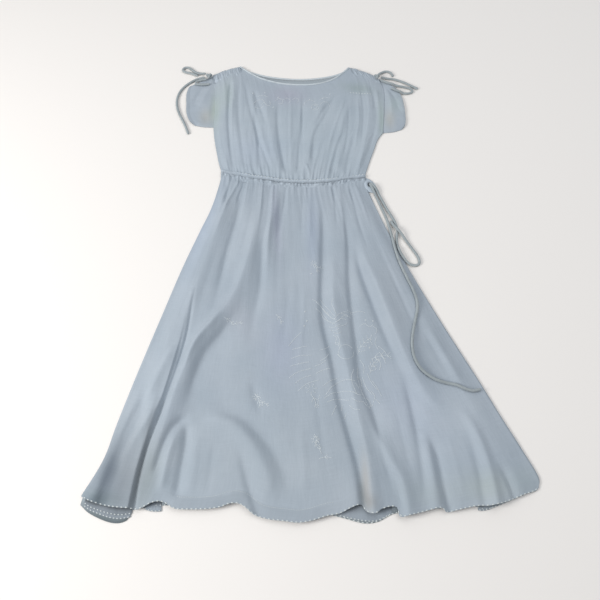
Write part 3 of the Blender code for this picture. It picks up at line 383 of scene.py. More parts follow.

# ---- colour

# A soft-edged spot of colour (dye, painted shade and painted highlight are all given as spots): its place, its
# half widths across and along, its turn in degrees and its colour as a share of the cloth's own.
Spot = namedtuple("Spot", "x y wide long turn colour")
SKIRT_TINTS_AND_SHADE = (
    Spot(0.110, -0.505, 0.008, 0.050, 3, (1.12, 1.01, 0.92)),
    Spot(0.348, -0.515, 0.055, 0.030, 0, (0.99, 0.99, 0.92)),
    Spot(0.230, -0.530, 0.060, 0.030, 0, (0.98, 0.98, 0.95)),
    Spot(-0.245, 0.080, 0.022, 0.130, -14, (0.99, 1.01, 1.06)),
    Spot(-0.075, 0.090, 0.010, 0.090, 4, (1.02, 0.985, 1.03)),
    Spot(-0.060, -0.230, 0.040, 0.080, 0, (1.01, 0.99, 1.04)),
    Spot(0.010, 0.060, 0.016, 0.100, 0, (0.99, 1.00, 1.05)),
    Spot(-0.150, -0.160, 0.030, 0.060, 30, (1.02, 0.99, 0.99)),
    # the lower left corner: darker where the layers stack, and painted shade in the trough and by the hem's
    # corner
    Spot(-0.410, -0.540, 0.045, 0.020, -10, (0.80, 0.84, 0.82)),
    Spot(-0.395, -0.500, 0.038, 0.085, -12, (0.69, 0.70, 0.72)),
    Spot(-0.400, -0.486, 0.012, 0.050, -14, (0.64, 0.66, 0.69)),
    Spot(-0.365, -0.520, 0.026, 0.075, -8, (0.80, 0.79, 0.79)),
    Spot(-0.425, -0.545, 0.030, 0.014, 20, (0.72, 0.74, 0.76)),
    # painted shade: the dark line of the deep pleat, where the tube fold's shadow falls
    Spot(-0.337, -0.490, 0.005, 0.120, -8, (0.62, 0.62, 0.62)),
    Spot(-0.318, -0.500, 0.020, 0.070, -8, (0.88, 0.88, 0.84)),
    Spot(-0.290, -0.400, 0.020, 0.100, -20, (0.95, 0.95, 0.96)),
    Spot(-0.100, -0.480, 0.300, 0.110, 0, (0.975, 0.975, 0.965)),
    # painted shade in the pocket beside the hem's inner fold
    Spot(0.103, -0.530, 0.008, 0.030, 4, (0.70, 0.70, 0.68)),
    Spot(0.118, -0.545, 0.014, 0.016, 0, (0.90, 0.86, 0.82)),
    Spot(0.200, -0.350, 0.060, 0.090, 30, (1.01, 1.01, 1.04)),
    Spot(0.430, -0.500, 0.030, 0.030, 30, (0.94, 0.96, 0.94)),
    Spot(0.290, -0.420, 0.110, 0.140, 0, (1.05, 1.05, 1.05)),
    # the lower left darker over a wide area: stacked layers, and painted shade
    Spot(-0.370, -0.480, 0.060, 0.110, -10, (0.94, 0.94, 0.93)),
)
BODICE_SPOTS = (
    Spot(-0.055, 0.478, 0.050, 0.032, 0, (0.98, 0.92, 0.96)),
    Spot(-0.236, 0.430, 0.012, 0.060, 0, (1.00, 1.03, 0.92)),
    Spot(-0.210, 0.480, 0.016, 0.050, 0, (1.01, 1.03, 0.96)),
    Spot(0.134, 0.500, 0.040, 0.017, -12, (0.85, 0.88, 0.83)),
    Spot(0.190, 0.400, 0.010, 0.060, 0, (0.98, 1.02, 0.92)),
    Spot(-0.130, 0.300, 0.070, 0.050, 0, (1.00, 1.00, 1.03)),
    Spot(0.000, 0.330, 0.300, 0.150, 0, (1.05, 1.06, 1.05)),
)
SLEEVE_RIGHT_SPOTS = (
    Spot(-0.262, 0.408, 0.016, 0.026, 0, (1.08, 1.00, 0.90)),
    Spot(-0.240, 0.435, 0.011, 0.050, 0, (1.02, 1.05, 0.90)),
)
SLEEVE_LEFT_SPOTS = (
    Spot(0.210, 0.400, 0.014, 0.030, 0, (1.08, 1.00, 0.90)),
    Spot(0.228, 0.450, 0.020, 0.030, 0, (0.97, 1.01, 0.96)),
)
# painted shade on the back where it shows below the front: dark at the left corner and under the hem's inner fold
SKIRT_BACK_SHADE = (
    Spot(-0.395, -0.572, 0.060, 0.020, -12, (0.42, 0.46, 0.46)),
    Spot(0.110, -0.570, 0.060, 0.016, 0, (0.72, 0.76, 0.74)),
)
# a painted highlight at the outer end of the casing's flap
CASING_END_HIGHLIGHT = (Spot(0.160, 0.195, 0.006, 0.016, -20, (1.12, 1.12, 1.06)),)
LEFT_SHOULDER_SPOTS = (Spot(0.134, 0.508, 0.046, 0.024, -12, (0.82, 0.86, 0.80)),)

# ---- embroidery and stitches, as x, y

# Long single strokes of the big spray on the skirt's front: a plume, arcs that sweep to the left, and stems.
SKIRT_STROKES = (
    ((0.052, -0.160), (0.036, -0.140), (0.022, -0.120), (0.008, -0.112)),
    ((0.056, -0.156), (0.044, -0.136), (0.034, -0.122), (0.024, -0.108)),
    ((0.060, -0.152), (0.054, -0.136), (0.050, -0.124), (0.054, -0.112)),
    ((0.048, -0.166), (0.034, -0.156), (0.026, -0.142), (0.016, -0.134)),
    ((0.054, -0.164), (0.066, -0.150), (0.080, -0.143), (0.097, -0.146)),
    ((0.050, -0.172), (0.064, -0.166), (0.078, -0.152), (0.086, -0.154)),
    ((0.084, -0.138), (0.096, -0.142), (0.112, -0.140), (0.124, -0.144)),
    ((0.044, -0.176), (0.056, -0.180), (0.068, -0.174)),
    ((0.046, -0.184), (0.058, -0.188), (0.066, -0.184)),
    ((0.052, -0.196), (0.060, -0.206), (0.056, -0.216), (0.064, -0.222)),
    ((0.110, -0.176), (0.122, -0.170), (0.132, -0.178), (0.140, -0.172)),
    ((-0.044, -0.222), (-0.030, -0.204), (-0.016, -0.190)),
    ((-0.038, -0.250), (-0.018, -0.244), (0.006, -0.243)),
    ((-0.042, -0.294), (-0.026, -0.282), (0.006, -0.272)),
    ((-0.024, -0.322), (-0.004, -0.306), (0.020, -0.298)),
    ((0.024, -0.256), (0.036, -0.248), (0.042, -0.238)),
    ((0.022, -0.232), (0.034, -0.228), (0.044, -0.220)),
    ((0.034, -0.330), (0.050, -0.310), (0.070, -0.299), (0.096, -0.302)),
    ((0.030, -0.338), (0.050, -0.326), (0.072, -0.322), (0.100, -0.330)),
    ((0.036, -0.346), (0.060, -0.338), (0.082, -0.342)),
    ((0.094, -0.276), (0.088, -0.292), (0.090, -0.310), (0.098, -0.330)),
    ((0.102, -0.270), (0.102, -0.296), (0.108, -0.322), (0.120, -0.352)),
    ((0.110, -0.345), (0.122, -0.356), (0.132, -0.350)),
    ((0.108, -0.252), (0.116, -0.268), (0.114, -0.284)),
    ((0.146, -0.200), (0.142, -0.216), (0.148, -0.230)),
    ((0.056, -0.352), (0.050, -0.364), (0.046, -0.374)),
    ((0.068, -0.350), (0.066, -0.362)),
    ((0.022, -0.330), (0.018, -0.344), (0.018, -0.358)),
    ((0.044, -0.150), (0.030, -0.130), (0.016, -0.118)),
    ((0.058, -0.170), (0.072, -0.160), (0.082, -0.162)),
    ((0.062, -0.180), (0.076, -0.176), (0.084, -0.168)),
    ((0.070, -0.148), (0.082, -0.150), (0.092, -0.156)),
    ((0.052, -0.190), (0.062, -0.196), (0.070, -0.192)),
    ((0.060, -0.200), (0.066, -0.212), (0.062, -0.224)),
    ((0.140, -0.176), (0.148, -0.184), (0.144, -0.194)),
    ((0.136, -0.196), (0.132, -0.208), (0.136, -0.220)),
    ((-0.036, -0.230), (-0.020, -0.226), (-0.004, -0.222)),
    ((-0.040, -0.268), (-0.020, -0.262), (0.000, -0.258)),
    ((-0.030, -0.306), (-0.014, -0.294), (0.004, -0.288)),
    ((0.012, -0.268), (0.026, -0.262), (0.036, -0.254)),
    ((0.014, -0.284), (0.030, -0.276), (0.044, -0.272)),
    ((0.028, -0.312), (0.044, -0.300), (0.060, -0.292)),
    ((0.112, -0.292), (0.118, -0.312), (0.130, -0.330)),
    ((0.122, -0.284), (0.130, -0.304), (0.142, -0.320)),
    ((0.082, -0.352), (0.092, -0.362), (0.104, -0.364)),
    ((0.076, -0.366), (0.072, -0.380)),
    ((0.132, -0.300), (0.140, -0.312), (0.150, -0.334)),
    ((0.128, -0.322), (0.136, -0.332), (0.132, -0.346)),
    ((0.118, -0.336), (0.126, -0.346), (0.124, -0.360)),
    ((0.138, -0.340), (0.146, -0.350)),
    ((0.100, -0.290), (0.110, -0.300), (0.108, -0.314)),
    ((0.096, -0.306), (0.104, -0.318)),
    ((0.148, -0.222), (0.160, -0.232), (0.168, -0.246)),
    ((0.150, -0.236), (0.158, -0.248), (0.162, -0.262)),
    ((0.142, -0.250), (0.152, -0.262), (0.148, -0.276)),
    ((0.134, -0.262), (0.142, -0.274)),
    ((0.040, -0.140), (0.048, -0.156), (0.060, -0.164)),
    ((0.034, -0.148), (0.044, -0.164), (0.056, -0.172)),
    ((0.056, -0.214), (0.066, -0.220), (0.064, -0.232)),
    ((0.060, -0.240), (0.068, -0.250)),
    ((0.086, -0.338), (0.098, -0.346), (0.112, -0.346)),
    ((0.090, -0.326), (0.102, -0.332), (0.114, -0.330)),
)
# Leafy sprigs: a stem's foot, its angle in degrees, its length and its number of pairs of leaves.
Sprig = namedtuple("Sprig", "x y angle length pairs")
SPRIGS = (
    Sprig(0.104, -0.240, 52, 0.046, 4),
    Sprig(0.132, -0.252, 8, 0.044, 3),
    Sprig(0.128, -0.284, 60, 0.040, 4),
    Sprig(0.012, -0.022, -70, 0.024, 2),
    Sprig(0.016, -0.034, 10, 0.020, 1),
    Sprig(-0.186, -0.158, -32, 0.026, 2),
    Sprig(-0.166, -0.172, 10, 0.022, 2),
    Sprig(-0.072, -0.148, -60, 0.026, 2),
    Sprig(-0.112, -0.328, -70, 0.030, 3),
    Sprig(-0.104, -0.346, -20, 0.022, 2),
    Sprig(0.010, -0.412, -84, 0.026, 3),
    Sprig(0.024, -0.452, 100, 0.020, 1),
    Sprig(0.018, -0.462, 4, 0.026, 1),
    Sprig(0.004, -0.330, -70, 0.030, 2),
)
# Small flowers of straight petals, and rings: x, y, radius.
FLOWERS = ((0.004, -0.318, 0.013), (0.012, -0.424, 0.009), (-0.110, -0.334, 0.008), (0.012, -0.022, 0.008))
RINGS = ((0.079, -0.238, 0.0165), (0.020, 0.437, 0.0100))
DOTS = (
    (-0.008, -0.142), (-0.004, -0.164), (-0.010, -0.176), (0.124, -0.162), (0.140, -0.164), (0.006, -0.048),
    (0.130, -0.226), (-0.111, 0.486), (-0.088, 0.436), (-0.142, 0.484), (0.059, 0.481), (-0.076, 0.470),
    (0.006, 0.462), (0.040, 0.466),
)
# Scrolls on the bodice's yoke.
YOKE_STROKES = (
    ((-0.140, 0.446), (-0.132, 0.460), (-0.118, 0.462), (-0.112, 0.452), (-0.120, 0.446)),
    ((-0.112, 0.452), (-0.104, 0.440), (-0.096, 0.444), (-0.098, 0.456)),
    ((-0.136, 0.438), (-0.124, 0.434), (-0.112, 0.440)),
    ((-0.084, 0.458), (-0.074, 0.466), (-0.064, 0.460), (-0.066, 0.450), (-0.076, 0.450)),
    ((-0.064, 0.460), (-0.052, 0.468), (-0.044, 0.458), (-0.050, 0.450)),
    ((-0.040, 0.462), (-0.030, 0.468), (-0.022, 0.460), (-0.028, 0.452)),
    ((-0.010, 0.446), (-0.002, 0.458), (0.010, 0.460), (0.020, 0.454)),
    ((0.016, 0.432), (0.024, 0.434), (0.024, 0.442), (0.017, 0.442)),
    ((0.032, 0.444), (0.042, 0.454), (0.054, 0.452), (0.058, 0.442)),
    ((0.030, 0.460), (0.044, 0.470), (0.058, 0.468)),
    ((-0.128, 0.474), (-0.114, 0.476), (-0.102, 0.470)),
)

# ---- cords: x, y and height above what lies beneath

WAIST_LONG = (
    (0.1495, 0.2000, 0.0006), (0.1575, 0.1810, 0.0), (0.1665, 0.1575, 0.0), (0.1745, 0.1340, 0.0),
    (0.1835, 0.1080, 0.0), (0.1900, 0.0810, 0.0), (0.1950, 0.0520, 0.0), (0.1990, 0.0240, 0.0),
    (0.2045, -0.0050, 0.0), (0.2140, -0.0365, 0.0), (0.2240, -0.0630, 0.0), (0.2350, -0.0940, 0.0),
    (0.2395, -0.1185, 0.0), (0.2380, -0.1395, 0.0), (0.2305, -0.1680, 0.0), (0.2235, -0.1960, 0.0),
    (0.2195, -0.2265, 0.0), (0.2225, -0.2540, 0.0), (0.2345, -0.2775, 0.0), (0.2560, -0.2945, 0.0),
    (0.2790, -0.3035, 0.0), (0.3070, -0.3100, 0.0), (0.3270, -0.3190, 0.0), (0.3420, -0.3215, 0.0),
    (0.3580, -0.3175, 0.0),
)
WAIST_LOOP = (
    (0.1525, 0.2010, 0.0010), (0.1640, 0.1855, 0.0), (0.1740, 0.1625, 0.0), (0.1830, 0.1400, 0.0),
    (0.1925, 0.1190, 0.0), (0.2015, 0.1000, 0.0), (0.2070, 0.0830, 0.0), (0.2085, 0.0675, 0.0),
    (0.2062, 0.0530, 0.0), (0.2055, 0.0375, 0.0), (0.2085, 0.0205, 0.0), (0.2145, 0.0035, 0.0),
    (0.2235, -0.0110, 0.0), (0.2340, -0.0205, 0.0), (0.2460, -0.0225, 0.0), (0.2535, -0.0165, 0.0),
    (0.2530, -0.0045, 0.0), (0.2470, 0.0090, 0.0), (0.2365, 0.0270, 0.0), (0.2255, 0.0455, 0.0010),
    (0.2160, 0.0600, 0.0050), (0.2068, 0.0725, 0.0062), (0.1995, 0.0850, 0.0020), (0.1950, 0.0970, 0.0),
)
TIE_RIGHT_LOOP = (
    (-0.2700, 0.5520, 0.0040), (-0.2818, 0.5540, 0.0010), (-0.2972, 0.5590, 0.0), (-0.3090, 0.5690, 0.0),
    (-0.3193, 0.5765, 0.0), (-0.3292, 0.5740, 0.0), (-0.3320, 0.5665, 0.0), (-0.3252, 0.5605, 0.0),
    (-0.3098, 0.5560, 0.0), (-0.2900, 0.5470, 0.0005),
)
TIE_RIGHT_TAIL = (
    (-0.2720, 0.5400, 0.0020), (-0.2887, 0.5368, 0.0), (-0.3073, 0.5250, 0.0), (-0.3240, 0.5087, 0.0),
    (-0.3354, 0.4883, 0.0), (-0.3396, 0.4646, 0.0), (-0.3370, 0.4403, 0.0), (-0.3283, 0.4147, 0.0),
    (-0.3150, 0.3876, 0.0), (-0.3018, 0.3536, 0.0),
)
TIE_RIGHT_SHORT = (
    (-0.2660, 0.5305, 0.0015), (-0.2780, 0.5295, 0.0), (-0.2916, 0.5235, 0.0), (-0.2930, 0.5156, 0.0),
    (-0.2786, 0.5135, 0.0), (-0.2570, 0.5160, 0.0),
)
TIE_LEFT_LOOP = (
    (0.1890, 0.5495, 0.0035), (0.1960, 0.5560, 0.0015), (0.2082, 0.5625, 0.0), (0.2205, 0.5590, 0.0),
    (0.2280, 0.5450, 0.0),
)
TIE_LEFT_TAIL = (
    (0.1950, 0.5400, 0.0025), (0.2083, 0.5385, 0.0), (0.2325, 0.5340, 0.0), (0.2565, 0.5230, 0.0),
    (0.2765, 0.5105, 0.0), (0.2905, 0.5020, 0.0),
)
TIE_LEFT_SHORT = (
    (0.1920, 0.5300, 0.0020), (0.2069, 0.5210, 0.0), (0.2305, 0.5140, 0.0), (0.2541, 0.5085, 0.0),
    (0.2728, 0.5010, 0.0), (0.2748, 0.4926, 0.0), (0.2663, 0.4873, 0.0), (0.2493, 0.4874, 0.0),
    (0.2327, 0.4934, 0.0), (0.2196, 0.5014, 0.0),
)

# The frame has the back waist strip's first corner at WAIST[0], moved up by half the casing.
low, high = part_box("waist_casing_back")
PLACE = np.array((low.x - WAIST[0][0], high.y - WAIST[0][1] - CASING_HALF, 0.0))


# ---- camera, floor and light


def make_camera():
    """Looks at a point of the skirt's upper half, 25 degrees off straight down, from the hem's side."""
    tilt, reach = math.radians(25), 1.45
    aim = Vector((-0.0195 + PLACE[0], -0.1085 + PLACE[1], 0.0))
    data = bpy.data.cameras.new("camera")
    data.sensor_width = 36.0
    data.lens = 38.94
    camera = bpy.data.objects.new("camera", data)
    camera.location = aim + reach * Vector((0, -math.sin(tilt), math.cos(tilt)))
    camera.rotation_euler = (tilt, 0, 0)
    bpy.context.scene.collection.objects.link(camera)
    bpy.context.scene.camera = camera


def make_floor():
    mesh = bpy.data.meshes.new("floor")
    sheet = bmesh.new()
    bmesh.ops.create_grid(sheet, x_segments=1, y_segments=1, size=4.0)
    sheet.to_mesh(mesh)
    sheet.free()
    floor = bpy.data.objects.new("floor", mesh)
    floor.location.z = -0.0003
    bpy.context.scene.collection.objects.link(floor)
    paint = bpy.data.materials.new("pale floor")
    paint.use_nodes = True
    shader = paint.node_tree.nodes["Principled BSDF"]
    shader.inputs["Base Color"].default_value = (0.86, 0.83, 0.80, 1)
    shader.inputs["Roughness"].default_value = 0.9
    mesh.materials.append(paint)


def make_lights():
    """A large soft key low on the left, a wide fill overhead and an even sky."""
    for name, energy, size, place, colour in (
        ("key", 46.0, 1.0, (-2.1, -0.7, 1.45), (1.0, 0.985, 0.96)),
        ("fill", 24.0, 2.6, (0.9, 0.6, 2.6), (0.95, 0.975, 1.0)),
    ):
        data = bpy.data.lights.new(name, "AREA")
        data.energy = energy
        data.size = size
        data.color = colour
        light = bpy.data.objects.new(name, data)
        light.location = place
        light.rotation_euler = Vector(place).to_track_quat("Z", "Y").to_euler()
        bpy.context.scene.collection.objects.link(light)
    world = bpy.data.worlds.new("sky")
    world.use_nodes = True
    world.node_tree.nodes["Background"].inputs["Color"].default_value = (0.95, 0.97, 1.0, 1)
    world.node_tree.nodes["Background"].inputs["Strength"].default_value = 0.50
    bpy.context.scene.world = world
    bpy.context.scene.view_settings.view_transform = "Standard"


# ---- curves and patches


def dense(points, steps=12):
    """A smooth curve through the given points, finely divided."""
    given = np.array(points, float)
    spread = np.vstack([2 * given[0] - given[1], given, 2 * given[-1] - given[-2]])
    knots = np.concatenate([[0], np.cumsum(np.linalg.norm(np.diff(spread, axis=0), axis=1) ** 0.5)])
    found = [given[:1]]
    for i in range(1, len(spread) - 2):
        p0, p1, p2, p3 = spread[i - 1 : i + 3]
        t0, t1, t2, t3 = knots[i - 1 : i + 3]
        t = np.linspace(t1, t2, steps + 1)[1:, None]
        a1 = ((t1 - t) * p0 + (t - t0) * p1) / (t1 - t0)
        a2 = ((t2 - t) * p1 + (t - t1) * p2) / (t2 - t1)
        a3 = ((t3 - t) * p2 + (t - t2) * p3) / (t3 - t2)
        b1 = ((t2 - t) * a1 + (t - t0) * a2) / (t2 - t0)
        b2 = ((t3 - t) * a2 + (t - t1) * a3) / (t3 - t1)
        found.append(((t2 - t) * b1 + (t - t1) * b2) / (t2 - t1))
    return np.vstack(found)


def along(points, shares):
    """Points of a smooth curve at these shares of its length."""
    line = dense(points)
    reach = np.concatenate([[0], np.cumsum(np.linalg.norm(np.diff(line, axis=0), axis=1))])
    wanted = np.asarray(shares) * reach[-1]
    return np.stack([np.interp(wanted, reach, line[:, k]) for k in range(line.shape[1])], axis=1)


def length_of(points):
    return float(np.linalg.norm(np.diff(np.array(points, float), axis=0), axis=1).sum())


def evenly(points, step):
    """Points of a smooth curve about this far apart."""
    return along(points, np.linspace(0, 1, max(3, round(length_of(dense(points)) / step) + 1)))


def raised(points, dy):
    return np.array(points, float) + (0, dy)


def beside(points, distance):
    """A flat curve's points moved to its left-hand side; to its right-hand side below zero."""
    points = np.array(points, float)
    run = np.gradient(points[:, :2], axis=0)
    run /= np.linalg.norm(run, axis=1)[:, None]
    out = points.copy()
    out[:, :2] += distance * np.stack([-run[:, 1], run[:, 0]], axis=1)
    return out


def patch(top, bottom, left, right, u, v):
    """A grid of x, y between four edges, at shares u across and v down."""
    u, v = u[None, :, None], v[:, None, None]
    across = (1 - v) * top[None] + v * bottom[None]
    down = (1 - u) * left[:, None] + u * right[:, None]
    corners = (1 - v) * ((1 - u) * top[0] + u * top[-1]) + v * ((1 - u) * bottom[0] + u * bottom[-1])
    return across + down - corners


def softened(edge, reach=9):
    """An edge with its notches smoothed away, and its ends kept."""
    share = np.hanning(2 * reach + 3)[1:-1]
    share = share / share.sum()
    ends = np.concatenate([np.repeat(edge[:1], reach, axis=0), edge, np.repeat(edge[-1:], reach, axis=0)])
    smooth = np.stack([np.convolve(ends[:, i], share, "valid") for i in range(2)], axis=-1)
    keep = np.clip(np.minimum(np.arange(len(edge)), np.arange(len(edge))[::-1]) / reach, 0, 1)[:, None]
    return edge * (1 - keep) + smooth * keep


def ease(t):
    t = np.clip(t, 0, 1)
    return t * t * (3 - 2 * t)


def nearest(grid, route):
    """For each x, y of a grid: its distance to a route, above zero on the route's left-hand side, and the share
    of the route's length at which it is nearest."""
    flat = grid.reshape(-1, 2)
    start, step = route[:-1], np.diff(route, axis=0)
    size = np.linalg.norm(step, axis=1)
    reach = np.concatenate([[0], np.cumsum(size)])
    best = np.full(len(flat), np.inf)
    side = np.zeros(len(flat))
    share = np.zeros(len(flat))
    for i in range(len(step)):
        offset = flat - start[i]
        t = np.clip(offset @ step[i] / size[i] ** 2, 0, 1)
        apart = offset - t[:, None] * step[i]
        distance = np.linalg.norm(apart, axis=1)
        closer = distance < best
        best = np.where(closer, distance, best)
        turn = step[i, 0] * apart[:, 1] - step[i, 1] * apart[:, 0]
        side = np.where(closer, turn, side)
        share = np.where(closer, (reach[i] + t * size[i]) / reach[-1], share)
    signed = best * np.where(side < 0, -1.0, 1.0)
    return signed.reshape(grid.shape[:2]), share.reshape(grid.shape[:2])


def closer(count, places):
    """Shares from 0 to 1, closer together round some places: each a share, a width and how much closer."""
    plain = np.linspace(0, 1, 2001)
    density = 1 + sum(much * np.exp(-(((plain - at) / width) ** 2)) for at, width, much in places)
    reach = np.concatenate([[0], np.cumsum((density[1:] + density[:-1]) / 2)])
    return np.interp(np.linspace(0, 1, count), reach / reach[-1], plain)


def noise(u, v, seed):
    """Smooth random heights, -1 to 1, one lattice point a unit."""
    rng = np.random.default_rng(seed)
    table = rng.uniform(-1, 1, (64, 64))
    iu, iv = np.floor(u).astype(int), np.floor(v).astype(int)
    fu, fv = ease(u - iu), ease(v - iv)

    def at(a, b):
        return table[(iu + a) % 64, (iv + b) % 64]

    low = (1 - fu) * at(0, 0) + fu * at(1, 0)
    high = (1 - fu) * at(0, 1) + fu * at(1, 1)
    return (1 - fv) * low + fv * high


# ---- cloth


def bells(grid, folds):
    """Height of the folds at each x, y, and how far each point leans over."""
    height = np.zeros(grid.shape[:2])
    lean = np.zeros(grid.shape[:2])
    for fold in folds:
        distance, share = nearest(grid, along(fold.route, np.linspace(0, 1, 4 * len(fold.route))))
        width = np.where(distance > 0, fold.right, fold.left)
        bell = fold.height * np.exp(-np.abs(distance / width) ** FOLD_SHARPNESS)
        if fold.rising:
            bell = bell * ease(share / fold.rising)
        if fold.sinking:
            bell = bell * ease((1 - share) / fold.sinking)
        height += bell
        lean += fold.lean * bell
    return height, lean


def gathers(u, v, width, count, seed, longest, tallest, half=0.0026, fading=0.0):
    """Small pleats that start at v = 0, unevenly spaced, tall and long, across a width in metres. Fading is the
    share of their height that is gone at the far end, u = 1."""
    rng = np.random.default_rng(seed)
    places = (np.arange(count) + rng.uniform(-0.4, 0.4, count)) / count
    height = np.zeros(np.broadcast(u, v).shape)
    for place in places:
        tall = tallest * rng.uniform(0.3, 1.0) * (1 - fading * min(1.0, 1.6 * place))
        long = longest * rng.uniform(0.12, 1.0) ** 1.5
        half_here = half * rng.uniform(0.7, 1.4)
        drift = rng.uniform(-0.02, 0.02)
        spread = half_here * (1 + 1.6 * v / longest)
        bell = np.exp(-np.abs((u - place - drift * v / longest) * width / spread) ** 1.7)
        height += tall * bell * ease(1 - v / long)
    return height


def grid_mesh(name, points, uv, around=False, dye=(1.0, 1.0, 1.0)):
    """A surface over a grid of points, facing up, with a colour at each point that holds dye and painted light
    and shade together, and a flat map of its cloth.
    """
    rows, columns = points.shape[:2]
    index = np.arange(rows * columns).reshape(rows, columns)
    following = np.roll(index, -1, axis=1)
    last = columns if around else columns - 1
    faces = np.stack(
        [index[1:, :last], following[1:, :last], following[:-1, :last], index[:-1, :last]], axis=-1
    ).reshape(-1, 4)
    mesh = bpy.data.meshes.new(name)
    mesh.from_pydata(points.reshape(-1, 3).tolist(), [], faces.tolist())
    layer = mesh.uv_layers.new(name="cloth")
    layer.data.foreach_set("uv", uv.reshape(-1, 2)[faces.reshape(-1)].astype(np.float32).ravel())
    colour = np.ones((rows, columns, 4), np.float32)
    colour[..., :3] = dye
    mesh.attributes.new("dye", "FLOAT_COLOR", "POINT").data.foreach_set("color", colour.ravel())
    mesh.polygons.foreach_set("use_smooth", np.ones(len(faces), bool))
    mesh.update()
    return mesh


def with_height(plan, z):
    """A grid of x, y, z from a grid of x, y and its heights."""
    return np.concatenate([plan, z[..., None]], axis=-1)


def flat_map(across, down):
    """A grid of places on the flat cloth, in metres, from one row and one column of them."""
    return np.stack(np.broadcast_arrays(across, down), axis=-1)


def colour_and_painted_light(points, spots, *shades):
    """Colour for each point, dye and painted light and shade together: soft-edged spots of colour, then even
    shades over it.
    """
    x, y = points[..., 0], points[..., 1]
    dye = np.ones(points.shape[:2] + (3,))
    for spot in spots:
        turn = math.radians(spot.turn)
        across = ((x - spot.x) * math.cos(turn) + (y - spot.y) * math.sin(turn)) / spot.wide
        along_it = ((y - spot.y) * math.cos(turn) - (x - spot.x) * math.sin(turn)) / spot.long
        share = np.exp(-(across**2 + along_it**2))[..., None]
        dye *= 1 + share * (np.array(spot.colour) - 1)
    for shade in shades:
        dye *= np.asarray(shade)[..., None]
    return dye


def place(name, mesh, paint, slot, *nodes):
    """A finished piece, in its place in the frame."""
    made = bpy.data.objects.new(name, mesh)
    bpy.context.scene.collection.objects.link(made)
    made.location = PLACE
    mesh.materials.clear()
    mesh.materials.append(paint)
    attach(made, "root")
    if nodes:
        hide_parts(*nodes)
    return made


def thicken(made, thickness=CLOTH, offset=-1.0):
    wrap = made.modifiers.new("cloth", "SOLIDIFY")
    wrap.thickness = thickness
    wrap.offset = offset
    return made


# ---- materials


